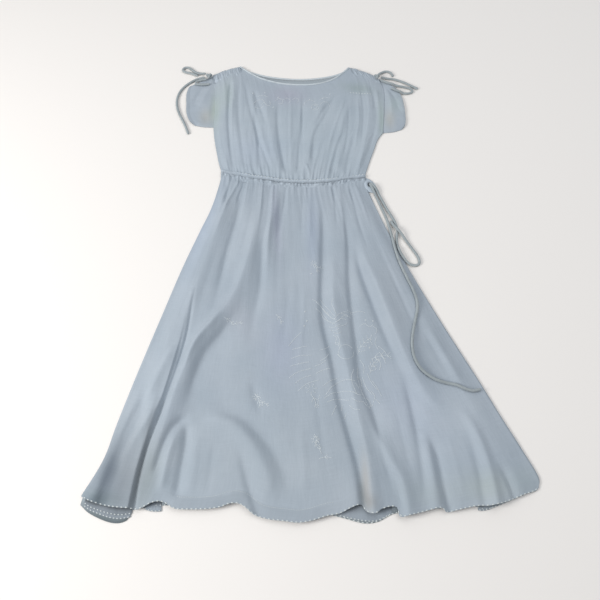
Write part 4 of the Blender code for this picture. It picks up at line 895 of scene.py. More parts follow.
def cloth_paint(name, colour, weave=1.0):
    """Fine plain-weave cotton: soft uneven dye, threads of uneven thickness, and a fine crinkle."""
    paint = bpy.data.materials.new(name)
    paint.use_nodes = True
    tree = paint.node_tree
    nodes, links = tree.nodes, tree.links
    shader = nodes["Principled BSDF"]
    shader.inputs["Roughness"].default_value = 0.88
    shader.inputs["Sheen Weight"].default_value = 0.18
    shader.inputs["Sheen Roughness"].default_value = 0.45
    shader.inputs["Specular IOR Level"].default_value = 0.25

    def node(kind, **values):
        made = nodes.new(kind)
        for key, value in values.items():
            if key in made.inputs:
                made.inputs[key].default_value = value
            else:
                setattr(made, key, value)
        return made

    place_node = node("ShaderNodeTexCoord")
    uv = node("ShaderNodeUVMap", uv_map="cloth")

    # dye: broad cloudy patches, and streaks along the cloth
    cloud = node("ShaderNodeTexNoise", Scale=7.0, Detail=3.0, Roughness=0.55)
    links.new(place_node.outputs["Object"], cloud.inputs["Vector"])
    tone = node("ShaderNodeValToRGB")
    tone.color_ramp.elements[0].position = 0.32
    tone.color_ramp.elements[0].color = (*[c * k for c, k in zip(colour, (0.93, 0.95, 0.97))], 1)
    tone.color_ramp.elements[1].position = 0.68
    tone.color_ramp.elements[1].color = (*[c * k for c, k in zip(colour, (1.05, 1.045, 1.05))], 1)
    links.new(cloud.outputs["Fac"], tone.inputs["Fac"])

    # thin and doubled places, and painted light and shade, as the mesh's colours say
    dye = node("ShaderNodeAttribute", attribute_name="dye")
    tint = node("ShaderNodeMix", data_type="RGBA", blend_type="MULTIPLY")
    tint.inputs["Factor"].default_value = 1.0
    links.new(tone.outputs["Color"], tint.inputs["A"])
    links.new(dye.outputs["Color"], tint.inputs["B"])

    # threads
    stretch_down = node("ShaderNodeMapping")
    stretch_down.inputs["Scale"].default_value = (620.0, 26.0, 1.0)
    stretch_across = node("ShaderNodeMapping")
    stretch_across.inputs["Scale"].default_value = (22.0, 560.0, 1.0)
    slubs = []
    for stretch in (stretch_down, stretch_across):
        links.new(uv.outputs["UV"], stretch.inputs["Vector"])
        slub = node("ShaderNodeTexNoise", Scale=1.0, Detail=1.0)
        links.new(stretch.outputs["Vector"], slub.inputs["Vector"])
        slubs.append(slub)
    threads = node("ShaderNodeMath", operation="ADD")
    links.new(slubs[0].outputs["Fac"], threads.inputs[0])
    links.new(slubs[1].outputs["Fac"], threads.inputs[1])
    grain = node("ShaderNodeMapRange")
    grain.inputs["From Min"].default_value = 0.7
    grain.inputs["From Max"].default_value = 1.3
    grain.inputs["To Min"].default_value = 0.965
    grain.inputs["To Max"].default_value = 1.035
    links.new(threads.outputs["Value"], grain.inputs["Value"])

    final = node("ShaderNodeVectorMath", operation="SCALE")
    links.new(tint.outputs["Result"], final.inputs[0])
    links.new(grain.outputs["Result"], final.inputs["Scale"])
    links.new(final.outputs["Vector"], shader.inputs["Base Color"])

    # weave: two sets of fine ribs, and the crinkle of washed cotton
    ribs = []
    for direction in ("X", "Y"):
        wave = node("ShaderNodeTexWave", Scale=170.0 * weave, Distortion=0.6, Detail=1.0)
        wave.bands_direction = direction
        links.new(uv.outputs["UV"], wave.inputs["Vector"])
        ribs.append(wave)
    mesh_of_ribs = node("ShaderNodeMath", operation="ADD")
    links.new(ribs[0].outputs["Fac"], mesh_of_ribs.inputs[0])
    links.new(ribs[1].outputs["Fac"], mesh_of_ribs.inputs[1])
    weave_bump = node("ShaderNodeBump", Strength=0.25, Distance=0.0002)
    links.new(mesh_of_ribs.outputs["Value"], weave_bump.inputs["Height"])
    crinkle_map = node("ShaderNodeMapping")
    crinkle_map.inputs["Scale"].default_value = (150.0, 45.0, 1.0)
    links.new(uv.outputs["UV"], crinkle_map.inputs["Vector"])
    crinkle = node("ShaderNodeTexNoise", Scale=1.0, Detail=3.0)
    links.new(crinkle_map.outputs["Vector"], crinkle.inputs["Vector"])
    crinkle_bump = node("ShaderNodeBump", Strength=0.35, Distance=0.0012)
    links.new(crinkle.outputs["Fac"], crinkle_bump.inputs["Height"])
    links.new(weave_bump.outputs["Normal"], crinkle_bump.inputs["Normal"])
    links.new(crinkle_bump.outputs["Normal"], shader.inputs["Normal"])
    return paint


def thread_paint(name, colour, roughness):
    """Spun thread: short bright and dull flecks along it."""
    paint = bpy.data.materials.new(name)
    paint.use_nodes = True
    nodes, links = paint.node_tree.nodes, paint.node_tree.links
    shader = nodes["Principled BSDF"]
    shader.inputs["Roughness"].default_value = roughness
    shader.inputs["Sheen Weight"].default_value = 0.3
    spot = nodes.new("ShaderNodeTexCoord")
    fleck = nodes.new("ShaderNodeTexNoise")
    fleck.inputs["Scale"].default_value = 900.0
    links.new(spot.outputs["Object"], fleck.inputs["Vector"])
    ramp = nodes.new("ShaderNodeValToRGB")
    ramp.color_ramp.elements[0].position = 0.35
    ramp.color_ramp.elements[0].color = (*[0.86 * c for c in colour], 1)
    ramp.color_ramp.elements[1].position = 0.65
    ramp.color_ramp.elements[1].color = (*colour, 1)
    links.new(fleck.outputs["Fac"], ramp.inputs["Fac"])
    links.new(ramp.outputs["Color"], shader.inputs["Base Color"])
    bump = nodes.new("ShaderNodeBump")
    bump.inputs["Strength"].default_value = 0.4
    bump.inputs["Distance"].default_value = 0.0002
    links.new(fleck.outputs["Fac"], bump.inputs["Height"])
    links.new(bump.outputs["Normal"], shader.inputs["Normal"])
    return paint


VOILE = cloth_paint("voile", (0.375, 0.425, 0.475))
# the voile darkened as painted shade, for the back panels and strips that lie under the front
VOILE_SHADED = cloth_paint("voile inside", (0.340, 0.385, 0.415))
TRIM = cloth_paint("trim", (0.540, 0.590, 0.620), weave=1.4)
CORDING = cloth_paint("cording", (0.340, 0.378, 0.390), weave=1.6)
THREADS = thread_paint("sewing thread", (0.60, 0.65, 0.66), 0.6)
YARNS = thread_paint("embroidery yarn", (0.64, 0.69, 0.72), 0.5)


# ---- panels


def skirt_surface(columns=241, rows=190):
    """The front skirt's upper face as a grid of points, with the shares across and down.

    Its top edge goes up under the waist casing."""
    u = closer(columns, ((0.12, 0.035, 2.2), (0.60, 0.05, 0.7)))
    v = closer(rows, ((0.0, 0.10, 1.2), (1.0, 0.05, 1.2)))
    top = along(raised(WAIST, TUCK), u)
    bottom = along(HEM_FRONT, u)
    left = along(np.vstack([[top[0]], SKIRT_LEFT]), v)
    right = along(np.vstack([[top[-1]], SKIRT_RIGHT]), v)
    smooth = softened(bottom)
    grid = patch(top, smooth, left, right, u, v) + (bottom - smooth)[None] * (v**18)[:, None, None]
    height, lean = bells(grid, SKIRT_FOLDS)
    across, down = u[None, :], v[:, None]
    height = SKIRT_LOFT + height
    height = SETTLE * np.logaddexp(0, height / SETTLE)
    side = ease(np.minimum(across, 1 - across) / EDGE_SHARE)
    edge = side * ease((down + 0.02) / TOP_EASE)
    fine, _ = bells(grid, SKIRT_CREASES)
    fine = fine + gathers(across, down, 0.36, 44, 11, 0.34, 0.0046, fading=0.7)
    fine = fine + gathers(across, down, 0.36, 70, 12, 0.06, 0.0030, 0.0018, fading=0.6)
    fine = fine + 0.0006 * noise(across * 58, down * 5, 3) * (0.3 + 0.7 * ease(1 - down / 0.6))
    fine = fine + 0.0007 * noise(across * 26, down * 11, 5) * ease(down / 0.25)
    fine = fine + 0.0010 * noise(across * 12 + 3, down * 6, 6) * ease(down / 0.25)
    height = height * edge + fine * (0.25 + 0.75 * side)
    x, y = grid[..., 0], grid[..., 1]
    height = np.maximum(height, -0.0006)
    height = height + 0.0030 * np.exp(-(((x + 0.400) / 0.070) ** 2) - ((y + 0.560) / 0.035) ** 2)
    height = height + 0.0012 * np.exp(-(((x + 0.310) / 0.018) ** 2) - ((y + 0.560) / 0.025) ** 2)
    height = height + 0.0020 * np.exp(-(((x - 0.345) / 0.030) ** 2) - ((y + 0.560) / 0.025) ** 2)
    plan = grid + np.stack([lean * edge, np.zeros_like(lean)], axis=-1)
    points = with_height(plan, BED + WALL + height)
    return points, u, v


def hem_band(points, depth=HEM_DEPTH):
    """How far each point of a grid is from its last row, as a share of the hem's depth, kept to 1."""
    away = np.linalg.norm(points[:, :, :2] - points[-1:, :, :2], axis=-1)
    return np.clip(away / depth, 0, 1)


def make_skirt_front():
    points, u, v = skirt_surface()
    band = hem_band(points)
    inside = ease((1 - band) / 0.06)
    run = u[None, :]
    puckers = 0.00030 * noise(run * 130, band * 0 + 0.5, 21) * ease((1 - band) / 0.3) * ease(band / 0.2)
    x = points[..., 0]
    plain = 0.25 + 0.75 * ease((x + 0.278) / 0.02) * ease((0.060 - x) / 0.05)
    stitched = np.exp(-((band - 0.90) / 0.05) ** 2)
    points[..., 2] += (0.0006 * inside - 0.0006 * stitched) * (0.4 + 0.6 * plain) + puckers
    dye = colour_and_painted_light(points, SKIRT_TINTS_AND_SHADE, 1 + (0.05 * stitched - 0.08 * inside) * plain)
    uv = flat_map(u[None, :] * 0.90, v[:, None] * 0.79)
    mesh = grid_mesh("skirt_front_cloth", points, uv, dye=dye)
    made = place("skirt_front_cloth", mesh, VOILE, "cloth", "skirt_front")
    thicken(made)
    return made


def bodice_edges(shoulder, neck, inset, foot, v):
    """A bodice panel's edges: a shoulder's divisions, the neck edge moved in, and the foot's height from the
    waist."""
    u_shoulder = np.linspace(0, 1, shoulder + 1)
    neck = beside(neck, inset)
    top = np.vstack([along(SHOULDER_LEFT, u_shoulder)[:-1], neck, along(SHOULDER_RIGHT, u_shoulder)[1:]])
    share = np.linspace(0, 1, len(top))
    bottom = along(raised(WAIST, foot), share)
    half = v <= 0.5
    left = np.vstack([along(ARMHOLE_LEFT, 2 * v[half]), along(SIDE_LEFT, 2 * v[~half] - 1)])
    right = np.vstack([along(ARMHOLE_RIGHT, 2 * v[half]), along(SIDE_RIGHT, 2 * v[~half] - 1)])
    left[-1], right[-1] = bottom[0], bottom[-1]
    return top, bottom, left, right, share


def bodice_surface(shoulder=34, neck=130, rows=150):
    v = np.linspace(0, 1, rows)
    line = along(NECK_FRONT, np.linspace(0, 1, neck + 1))
    top, bottom, left, right, u = bodice_edges(shoulder, line, -0.4 * BINDING_RADIUS, TUCK, v)
    grid = patch(top, bottom, left, right, u, v)
    height, lean = bells(grid, BODICE_FOLDS)
    across, down = u[None, :], v[:, None]
    height = BODICE_LOFT + BODICE_FOLD_SHARE * height
    height = SETTLE * np.logaddexp(0, height / SETTLE)
    side = ease(np.minimum(across, 1 - across) / EDGE_SHARE)
    edge = side * (BODICE_TOP_SHARE + (1 - BODICE_TOP_SHARE) * ease(down / TOP_EASE))
    edge = edge * ease((1 - down + 0.01) / 0.10)
    fine, _ = bells(grid, BODICE_CREASES)
    fine = fine + gathers(across, 1 - down, 0.35, 52, 17, 0.60, 0.0026)
    fine = fine + gathers(across, 1 - down, 0.35, 64, 18, 0.12, 0.0022, 0.0018)
    at_shoulder = 1 - ease((np.minimum(across, 1 - across) - 0.13) / 0.06)
    fine = fine + at_shoulder * gathers(across, down, 0.45, 60, 29, 0.50, 0.0034, 0.0022)
    fine = fine + 0.0006 * noise(across * 60, down * 3, 7) * (0.4 + 0.6 * ease((down - 0.15) / 0.3))
    fine = fine + 0.0004 * noise(across * 22, down * 8, 8)
    x, y = grid[..., 0], grid[..., 1]
    placket = ease((0.487 - y) / 0.01) * ease((y - 0.235) / 0.05)
    for line, rise in ((-0.050, -0.0008), (-0.0425, 0.0008), (-0.019, 0.0008), (-0.0125, -0.0008)):
        fine = fine + rise * placket * np.exp(-np.abs((x - line) / 0.0016) ** 2)
    height = height * edge + fine * (0.25 + 0.75 * side)
    height = np.maximum(height, -0.0004)
    plan = grid + np.stack([lean * edge, np.zeros_like(lean)], axis=-1)
    points = with_height(plan, BED + WALL + height)
    return points, u, v


def make_bodice_front():
    points, u, v = bodice_surface()
    uv = flat_map(u[None, :] * 0.56, v[:, None] * 0.36)
    mesh = grid_mesh("bodice_front_cloth", points, uv, dye=colour_and_painted_light(points, BODICE_SPOTS))
    made = place("bodice_front_cloth", mesh, VOILE, "cloth", "bodice_front")
    thicken(made)
    return made, points


def ribbon(name, upper, lower, rows, rise, paint, slot, *nodes):
    """A strip between two lines of x, y, its middle raised above its edges."""
    v = np.linspace(0, 1, rows)[:, None, None]
    plan = (1 - v) * upper[None] + v * lower[None]
    z = RIBBON_BASE + rise * np.sin(np.pi * v[:, :, 0]) ** 0.7 * np.ones((1, len(upper)))
    points = with_height(plan, z)
    reach = np.concatenate([[0], np.cumsum(np.linalg.norm(np.diff(upper, axis=0), axis=1))])
    uv = flat_map(reach[None, :], v[:, :, 0] * 0.02)
    made = place(name, grid_mesh(name, points, uv), paint, slot, *nodes)
    thicken(made)
    return made


def make_backs():
    """The back panels: flat, seen at the neck and below the front hem."""
    share = np.linspace(0, 1, 121)
    v = np.linspace(0, 1, 61)
    top = along(raised(WAIST, -CASING_HALF - SEAM), share)
    bottom = along(HEM_BACK, share)
    left, right = along(SKIRT_LEFT, v), along(SKIRT_RIGHT, v)
    left[-1], right[-1] = bottom[0], bottom[-1]
    left[0], right[0] = top[0], top[-1]
    grid = patch(top, bottom, left, right, share, v)
    points = with_height(grid, np.full(grid.shape[:2], WALL))
    band = hem_band(points)
    points[..., 2] += 0.0003 * ease((1 - band) / 0.1)
    uv = flat_map(share[None, :] * 0.90, v[:, None] * 0.79)
    dye = colour_and_painted_light(points, SKIRT_BACK_SHADE, 1 - 0.1 * ease((1 - band) / 0.06))
    mesh = grid_mesh("skirt_back_cloth", points, uv, dye=dye)
    skirt = place("skirt_back_cloth", mesh, VOILE_SHADED, "cloth", "skirt_back")
    thicken(skirt, WALL)

    v = np.linspace(0, 1, 41)
    line = along(NECK_BACK, np.linspace(0, 1, 61))
    top, bottom, left, right, share = bodice_edges(10, line, -BINDING_WIDTH, CASING_HALF + SEAM, v)
    grid = patch(top, bottom, left, right, share, v)
    points = with_height(grid, np.full(grid.shape[:2], WALL))
    uv = flat_map(share[None, :] * 0.56, v[:, None] * 0.36)
    mesh = grid_mesh("bodice_back_cloth", points, uv)
    bodice = place("bodice_back_cloth", mesh, VOILE_SHADED, "cloth", "bodice_back")
    thicken(bodice, WALL)
    return skirt, bodice


def make_hem_layers():
    """The layers of hem that show below the front's."""
    made = []
    for layer in HEM_LAYERS:
        u, v = np.linspace(0, 1, 61), np.linspace(0, 1, 13)
        upper, lower = along(layer.upper, u), along(layer.lower, u)
        down = v[:, None]
        plan = (1 - down[..., None]) * upper[None] + down[..., None] * lower[None]
        z = 0.0016 + (layer.height - 0.0016) * np.sin(np.pi * u)[None, :] ** 0.6 * (1 - 0.5 * down)
        z = z + 0.0003 * noise(u[None, :] * 14, down * 2, 31)
        points = with_height(plan, z)
        uv = flat_map(u[None, :] * 0.10, down * 0.03)
        # painted shade: each layer darker all over, darkest at its top in the front panel's shadow
        shade = layer.top + (layer.foot - layer.top) * ease((down - 0.25) / 0.5) * np.ones_like(u)[None, :]
        mesh = grid_mesh(layer.name, points, uv, dye=colour_and_painted_light(points, (), shade))
        piece = place(layer.name, mesh, VOILE, "cloth")
        thicken(piece, 0.0004)
        made.append(piece)
    return made


# ---- trims


def casing_lift(share):
    """How far the casing rides up from the waist, at shares along it."""
    return 0.0022 * np.exp(-((share - 0.05) / 0.10) ** 2) + 0.0024 * np.exp(-((share - 0.86) / 0.06) ** 2)


def make_waist_casing():
    """The drawstring's channel: a narrow puckered band, stitched along its top, a groove and a ruffle below.

    It lies over the bodice's foot and the skirt's head."""
    columns = 701
    share = np.linspace(0, 1, columns)
    line = along(WAIST, share)
    rows = 34
    y = np.linspace(CASING_HALF + 0.0030, -CASING_HALF * 0.75, rows)
    level = y[:, None] - casing_lift(share)[None, :]
    profile = 0.0034 * np.exp(-np.abs((level - 0.0065) / 0.0080) ** 4)
    profile += 0.0020 * np.exp(-((level - 0.0120) / 0.0018) ** 2)
    groove = 0.35 + 0.65 * ease((share - 0.20) / 0.12)[None, :]
    profile -= 0.0036 * groove * np.exp(-((level - 0.0045) / 0.0019) ** 2)
    profile += 0.0014 * np.exp(-((level - 0.0000) / 0.0028) ** 2)
    ruffled = np.exp(-((level + 0.0005) / 0.0045) ** 2)
    top = np.exp(-((level - 0.0125) / 0.0035) ** 2)
    ripple = noise(share[None, :] * 46, level * 120 + 3, 41)
    fine = noise(share[None, :] * 92, level * 160 + 7, 43)
    z = profile + 0.0020 * ripple * (0.25 + ruffled) + 0.0010 * fine * (0.25 + ruffled + 0.5 * top)
    foot = ease((level + CASING_HALF * 0.75) / 0.004)
    head = ease((CASING_HALF + 0.0032 - y) / 0.0022)[:, None]
    ends = ease(np.minimum(share, 1 - share) / 0.012)[None, :]
    z = BED + WALL + 0.0003 + (0.0012 + z) * (0.15 + 0.85 * foot) * (0.25 + 0.75 * head) * (0.4 + 0.6 * ends)
    plan = np.stack(np.broadcast_arrays(line[None, :, 0], line[None, :, 1] + y[:, None]), axis=-1)
    points = with_height(plan, z)
    uv = flat_map(share[None, :] * 0.55, y[:, None])
    # painted light: a highlight along the stitched top edge, the ruffle lit on its crests and shaded in its dips,
    # and painted shade in the groove
    light = 1 + 0.42 * np.exp(-((level - 0.0120) / 0.0017) ** 2) * (0.7 + 0.3 * fine)
    light = light * (1 + 0.30 * np.clip(fine, -0.5, 1) * ruffled)
    light = light * (1 - 0.32 * groove * np.exp(-((level - 0.0045) / 0.0018) ** 2))
    mesh = grid_mesh("waist_casing_cloth", points, uv, dye=colour_and_painted_light(points, (), light))
    made = place("waist_casing_cloth", mesh, VOILE, "cloth", "waist_casing_front")
    thicken(made, FINE_CLOTH)
    upper = along(raised(WAIST, CASING_HALF), np.linspace(0, 1, 81))
    lower = along(raised(WAIST, -CASING_HALF), np.linspace(0, 1, 81))
    nodes = ("waist_casing_back",)
    back = ribbon("waist_casing_back_cloth", upper, lower, 5, 0.0002, VOILE_SHADED, "cloth", *nodes)
    return made, back


def make_casing_end():
    """The casing's open end at the left side, with the hole that the drawstring leaves by."""
    share = np.linspace(0, 1, 33)
    upper = along(((0.1340, 0.2210), (0.1460, 0.2180), (0.1560, 0.2105), (0.1640, 0.2000)), share)
    lower = along(((0.1360, 0.1860), (0.1470, 0.1790), (0.1590, 0.1760), (0.1680, 0.1800)), share)
    v = np.linspace(0, 1, 25)[:, None, None]
    plan = (1 - v) * upper[None] + v * lower[None]
    down = v[:, :, 0]
    puff = np.sin(np.pi * np.clip(down, 0.02, 0.98)) ** 0.7
    puff = puff * np.sin(np.pi * np.clip(share, 0.02, 0.98)) ** 0.5
    hole = np.exp(-(((plan[..., 0] - 0.1490) / 0.0040) ** 2) - ((plan[..., 1] - 0.2000) / 0.0055) ** 2)
    z = BED + 0.0030 * puff + 0.0010 * noise(share[None, :] * 5, down * 2, 61) * puff - 0.0020 * hole
    points = with_height(plan, z)
    uv = flat_map(share[None, :] * 0.04, down * 0.035)
    # painted light: the flap lighter all over with a painted highlight along its rim, and painted shade in the
    # drawstring's hole
    rim = np.exp(-((share - 0.92) / 0.08) ** 2)[None, :] * np.ones_like(down)
    dye = colour_and_painted_light(points, CASING_END_HIGHLIGHT, (1.22 + 0.30 * rim) * (1 - 0.85 * np.clip(hole * 1.8, 0, 1)))
    mesh = grid_mesh("waist_casing_end_cloth", points, uv, dye=dye)
    made = place("waist_casing_end_cloth", mesh, VOILE, "cloth")
    thicken(made, FINE_CLOTH)
    return made


def make_shoulder_casings(points):
    """Gathered channels along the shoulder edges, on the bodice's own points."""
    made = []
    for name, node, columns, spots in (
        ("shoulder_casing_right_cloth", "shoulder_casing_right", slice(0, 35), ()),
        ("shoulder_casing_left_cloth", "shoulder_casing_left", slice(-35, None), LEFT_SHOULDER_SPOTS),
    ):
        edge, below = points[0, columns], points[13, columns]
        v = np.linspace(0, 1, 17)[:, None, None]
        base = (1 - v) * edge[None] + v * below[None]
        share = np.linspace(0, 1, base.shape[1])
        fine_share = np.linspace(0, 1, 161)
        base = np.stack([[np.interp(fine_share, share, row[:, k]) for k in range(3)] for row in base])
        base = base.transpose(0, 2, 1)
        base[..., 2] = BED + WALL + 0.0008
        down = v[:, :, 0]
        puff = 0.0020 * np.sin(np.pi * np.clip(down / 0.75, 0, 1)) ** 0.8
        pleats = np.abs(noise(fine_share[None, :] * 13, down * 0.6 + 2, 51))
        ticks = noise(fine_share[None, :] * 26, down * 1.2, 53)
        foot = ease((1 - down) / 0.10)
        arch = 0.3 + 0.7 * np.sin(np.pi * down) ** 0.5
        base[..., 2] += (puff + 0.0034 * pleats + 0.0014 * ticks) * arch * foot
        uv = flat_map(fine_share[None, :] * 0.10, down * 0.03)
        stitched = np.exp(-((down - 0.78) / 0.06) ** 2) * np.ones_like(fine_share)[None, :]
        # painted light: the pleat ticks lit on their crests and shaded between, and a lighter line along the
        # stitching
        lit = 1 + 0.22 * np.clip(ticks, -0.4, 1) + 0.22 * stitched
        mesh = grid_mesh(name, base, uv, dye=colour_and_painted_light(base, spots, lit))
        piece = place(name, mesh, VOILE, "cloth", node)
        thicken(piece, FINE_CLOTH)
        made.append(piece)
    return made


def tube_mesh(name, path, radius, seed, flatten=0.12, crinkle=0.06, seam=0.10):
    """A soft sewn tube along a path: slightly flat, with a seam that winds round it and small crinkles."""
    run = np.gradient(path, axis=0)
    run /= np.linalg.norm(run, axis=1)[:, None]
    out = np.cross(run, (0, 0, 1.0))
    out /= np.linalg.norm(out, axis=1)[:, None]
    up = np.cross(out, run)
    reach = np.concatenate([[0], np.cumsum(np.linalg.norm(np.diff(path, axis=0), axis=1))])
    turn = np.arange(TUBE_SIDES) * 2 * math.pi / TUBE_SIDES
    ring = np.broadcast_to(turn[None, :], (len(path), TUBE_SIDES))
    wind = reach[:, None] * TUBE_TWIST
    from_seam = np.mod(ring - wind + math.pi, 2 * math.pi) - math.pi
    r = 1 + flatten * np.cos(2 * ring) + seam * np.exp(-((from_seam / 0.35) ** 2))
    r = r + crinkle * noise(ring * 1.2 + seed, reach[:, None] * 260, seed)
    taper = np.clip(np.minimum(reach, reach[-1] - reach) / (0.6 * radius), 0, 1)
    r = r * (0.35 + 0.65 * np.sqrt(taper))[:, None]
    points = path[:, None] + radius * (
        (r * np.cos(ring))[..., None] * out[:, None] + (r * np.sin(ring))[..., None] * up[:, None]
    )
    uv = flat_map(ring * radius, reach[:, None])
    shade = 1 - 0.10 * (noise(ring * 0.8, reach[:, None] * 90, seed + 1) > 0.3)
    mesh = grid_mesh(name, points[:, ::-1], uv[:, ::-1], around=True, dye=shade[:, ::-1, None])
    caps = bmesh.new()
    caps.from_mesh(mesh)
    bmesh.ops.holes_fill(caps, edges=[e for e in caps.edges if e.is_boundary])
    bmesh.ops.recalc_face_normals(caps, faces=caps.faces)
    caps.to_mesh(mesh)
    caps.free()
    return mesh


def make_bindings():
    line = evenly(NECK_FRONT, 0.0012)
    path = np.hstack([line, np.full((len(line), 1), BED + BINDING_RADIUS)])
    mesh = tube_mesh("neck_binding_cord", path, BINDING_RADIUS, 61, flatten=0.0, crinkle=0.10, seam=0.05)
    place("neck_binding_cord", mesh, TRIM, "binding", "neck_binding_front")
    upper = along(NECK_BACK, np.linspace(0, 1, 161))
    lower = beside(upper, -BINDING_WIDTH)
    nodes = ("neck_binding_back",)
    return ribbon("neck_binding_back_cloth", upper, lower, 9, 0.0008, TRIM, "binding", *nodes)


def make_sleeve(name, node, side, armhole, top, cuff, under, folds, spots):
    """A short flattened tube from armhole to cuff, two layers joined along its top and its underarm."""
    rows, columns = 57, 71
    across = np.linspace(0, 1, columns)
    down = np.linspace(0, 1, rows)
    seam = beside(along(armhole, across), -side * 0.0015)
    edge_top = along(np.vstack([seam[:1], top[1:]]), down)
    edge_under = along(np.vstack([seam[-1:], under[1:]]), down)
    grid = patch(seam, along(cuff, across), edge_top, edge_under, across, down)
    height, _ = bells(grid, folds)
    u, v = across[None, :], down[:, None]
    round_edge = np.sqrt(np.clip(np.minimum(u, 1 - u) / 0.05, 0, 1))
    height = 0.0030 + height + 0.0007 * noise(u * 9, v * 3, 71) + 0.0004 * noise(u * 20, v * 6, 73)
    height = 0.0006 * np.logaddexp(0, height / 0.0006)
    tucked = 0.3 + 0.7 * ease(v / 0.35)
    upper = 0.0011 + height * round_edge * tucked
    band = np.clip((1 - v) / 0.13, 0, 1)
    inside = ease((1 - band) / 0.12)
    upper = upper + 0.0005 * inside - 0.0005 * np.exp(-((band - 0.8) / 0.08) ** 2)
    lower = np.full(grid.shape[:2], 0.0006)
    ring = np.concatenate([with_height(grid, upper), with_height(grid, lower)[:, ::-1]], axis=1)
    shade = np.concatenate([1 - 0.08 * inside * np.ones_like(u), np.ones(grid.shape[:2])], axis=1)
    dye = colour_and_painted_light(ring, spots, shade)
    ring_share = np.linspace(0, 0.36, 2 * columns)[None, :]
    uv = flat_map(ring_share, v * 0.08)
    if side > 0:
        ring, dye, uv = ring[:, ::-1], dye[:, ::-1], uv[:, ::-1]
    mesh = grid_mesh(name, ring, uv, around=True, dye=dye)
    made = place(name, mesh, VOILE, "cloth", node)
    thicken(made, 0.0005)
    return made


SLEEVE_RIGHT_FOLDS = (
    Fold(0.0022, 0.006, 0.012, 0.0, 0.1, 0.3, ((-0.244, 0.528), (-0.267, 0.477), (-0.284, 0.424))),
    Fold(-0.0020, 0.006, 0.006, 0.0, 0.1, 0.3, ((-0.252, 0.535), (-0.282, 0.490), (-0.298, 0.440))),
    Fold(0.0016, 0.006, 0.006, 0.0, 0.1, 0.3, ((-0.244, 0.510), (-0.252, 0.450), (-0.254, 0.395))),
)
SLEEVE_LEFT_FOLDS = (
    Fold(0.0020, 0.006, 0.010, 0.0, 0.1, 0.3, ((0.198, 0.520), (0.214, 0.460), (0.220, 0.400))),
    Fold(-0.0018, 0.006, 0.006, 0.0, 0.1, 0.3, ((0.196, 0.525), (0.228, 0.470), (0.238, 0.420))),
)


# ---- cords


def surfaces():
    """Search trees of everything that a cord can lie on, in the tables' own coordinates."""
    bpy.context.view_layer.update()
    graph = bpy.context.evaluated_depsgraph_get()
    names = (
        "skirt_front_cloth",
        "bodice_front_cloth",
        "sleeve_left_cloth",
        "sleeve_right_cloth",
        "shoulder_casing_left_cloth",
        "shoulder_casing_right_cloth",
        "waist_casing_cloth",
        "waist_casing_end_cloth",
    )
    return [BVHTree.FromObject(bpy.data.objects[name], graph) for name in names]


def ground(x, y, trees):
    high = 0.0
    for tree in trees:
        hit = tree.ray_cast(Vector((x, y, 1.0)), Vector((0, 0, -1)))[0]
        if hit is not None:
            high = max(high, hit.z)
    return high


def rested(route, radius, trees):
    """A cord's path: its route, with what lies beneath its width added to each height, then smoothed."""
    path = evenly(route, 0.0015)
    floor = []
    for x, y, _ in path:
        reach, turns = 0.8 * radius, np.arange(6) * math.pi / 3
        spots = [(x, y)] + [(x + reach * math.cos(a), y + reach * math.sin(a)) for a in turns]
        floor.append(max(ground(px, py, trees) for px, py in spots))
    floor = np.array(floor)
    reach = 3
    padded = np.pad(floor, reach, mode="edge")
    floor = np.array([padded[i : i + 2 * reach + 1].max() for i in range(len(floor))])
    kernel = np.hanning(9)
    floor = np.convolve(np.pad(floor, 4, mode="edge"), kernel / kernel.sum(), mode="valid")
    path[:, 2] += floor + radius * 1.02
    return path


def make_cords():
    trees = surfaces()
    for seed, (name, route, radius, far_end) in enumerate((
        ("waist_cord_long", WAIST_LONG, CORD_RADIUS, "bare"),
        ("waist_cord_loop", WAIST_LOOP, CORD_RADIUS, "bare"),
        ("tie_right_loop", TIE_RIGHT_LOOP, TIE_RADIUS, "object"),
        ("tie_right_tail", TIE_RIGHT_TAIL, TIE_RADIUS, "bare"),
        ("tie_right_short", TIE_RIGHT_SHORT, TIE_RADIUS, "bare"),
        ("tie_left_loop", TIE_LEFT_LOOP, TIE_RADIUS, "bare"),
        ("tie_left_tail", TIE_LEFT_TAIL, TIE_RADIUS, "bare"),
        ("tie_left_short", TIE_LEFT_SHORT, TIE_RADIUS, "bare"),
    ), start=81):
        path = rested(route, radius, trees)
        mesh = tube_mesh(name + "_sewn", path, radius, seed)
        piece = place(name + "_sewn", mesh, CORDING, "cord", name)


def make_knot(name, node, centre, half, seed):
    """A small tight knot: a cord wound three times round itself."""
    turns = np.linspace(0, 1, 120)
    angle = turns * 2 * math.pi
    path = np.stack(
        [
            half[0] * 0.62 * (np.sin(angle) + 0.8 * np.sin(2 * angle)) / 1.5,
            half[1] * 0.70 * (np.cos(angle) - 0.8 * np.cos(2 * angle)) / 1.5,
            -half[2] * 0.45 * np.sin(3 * angle),
        ],
        axis=1,
    ) + np.array(centre)
    mesh = tube_mesh(name, path, TIE_RADIUS, seed)
    return place(name, mesh, CORDING, "cord", node)


# ---- stitches

BEAD_RINGS = ((0.22, 0.75), (0.5, 1.0), (0.78, 0.75))  # a stitch's rings: share of its length, of its width
STITCH_LIFT = 0.0002  # how far a stitch's middle is above its cloth
STITCH_FLATNESS = 0.7  # its height as a share of its width


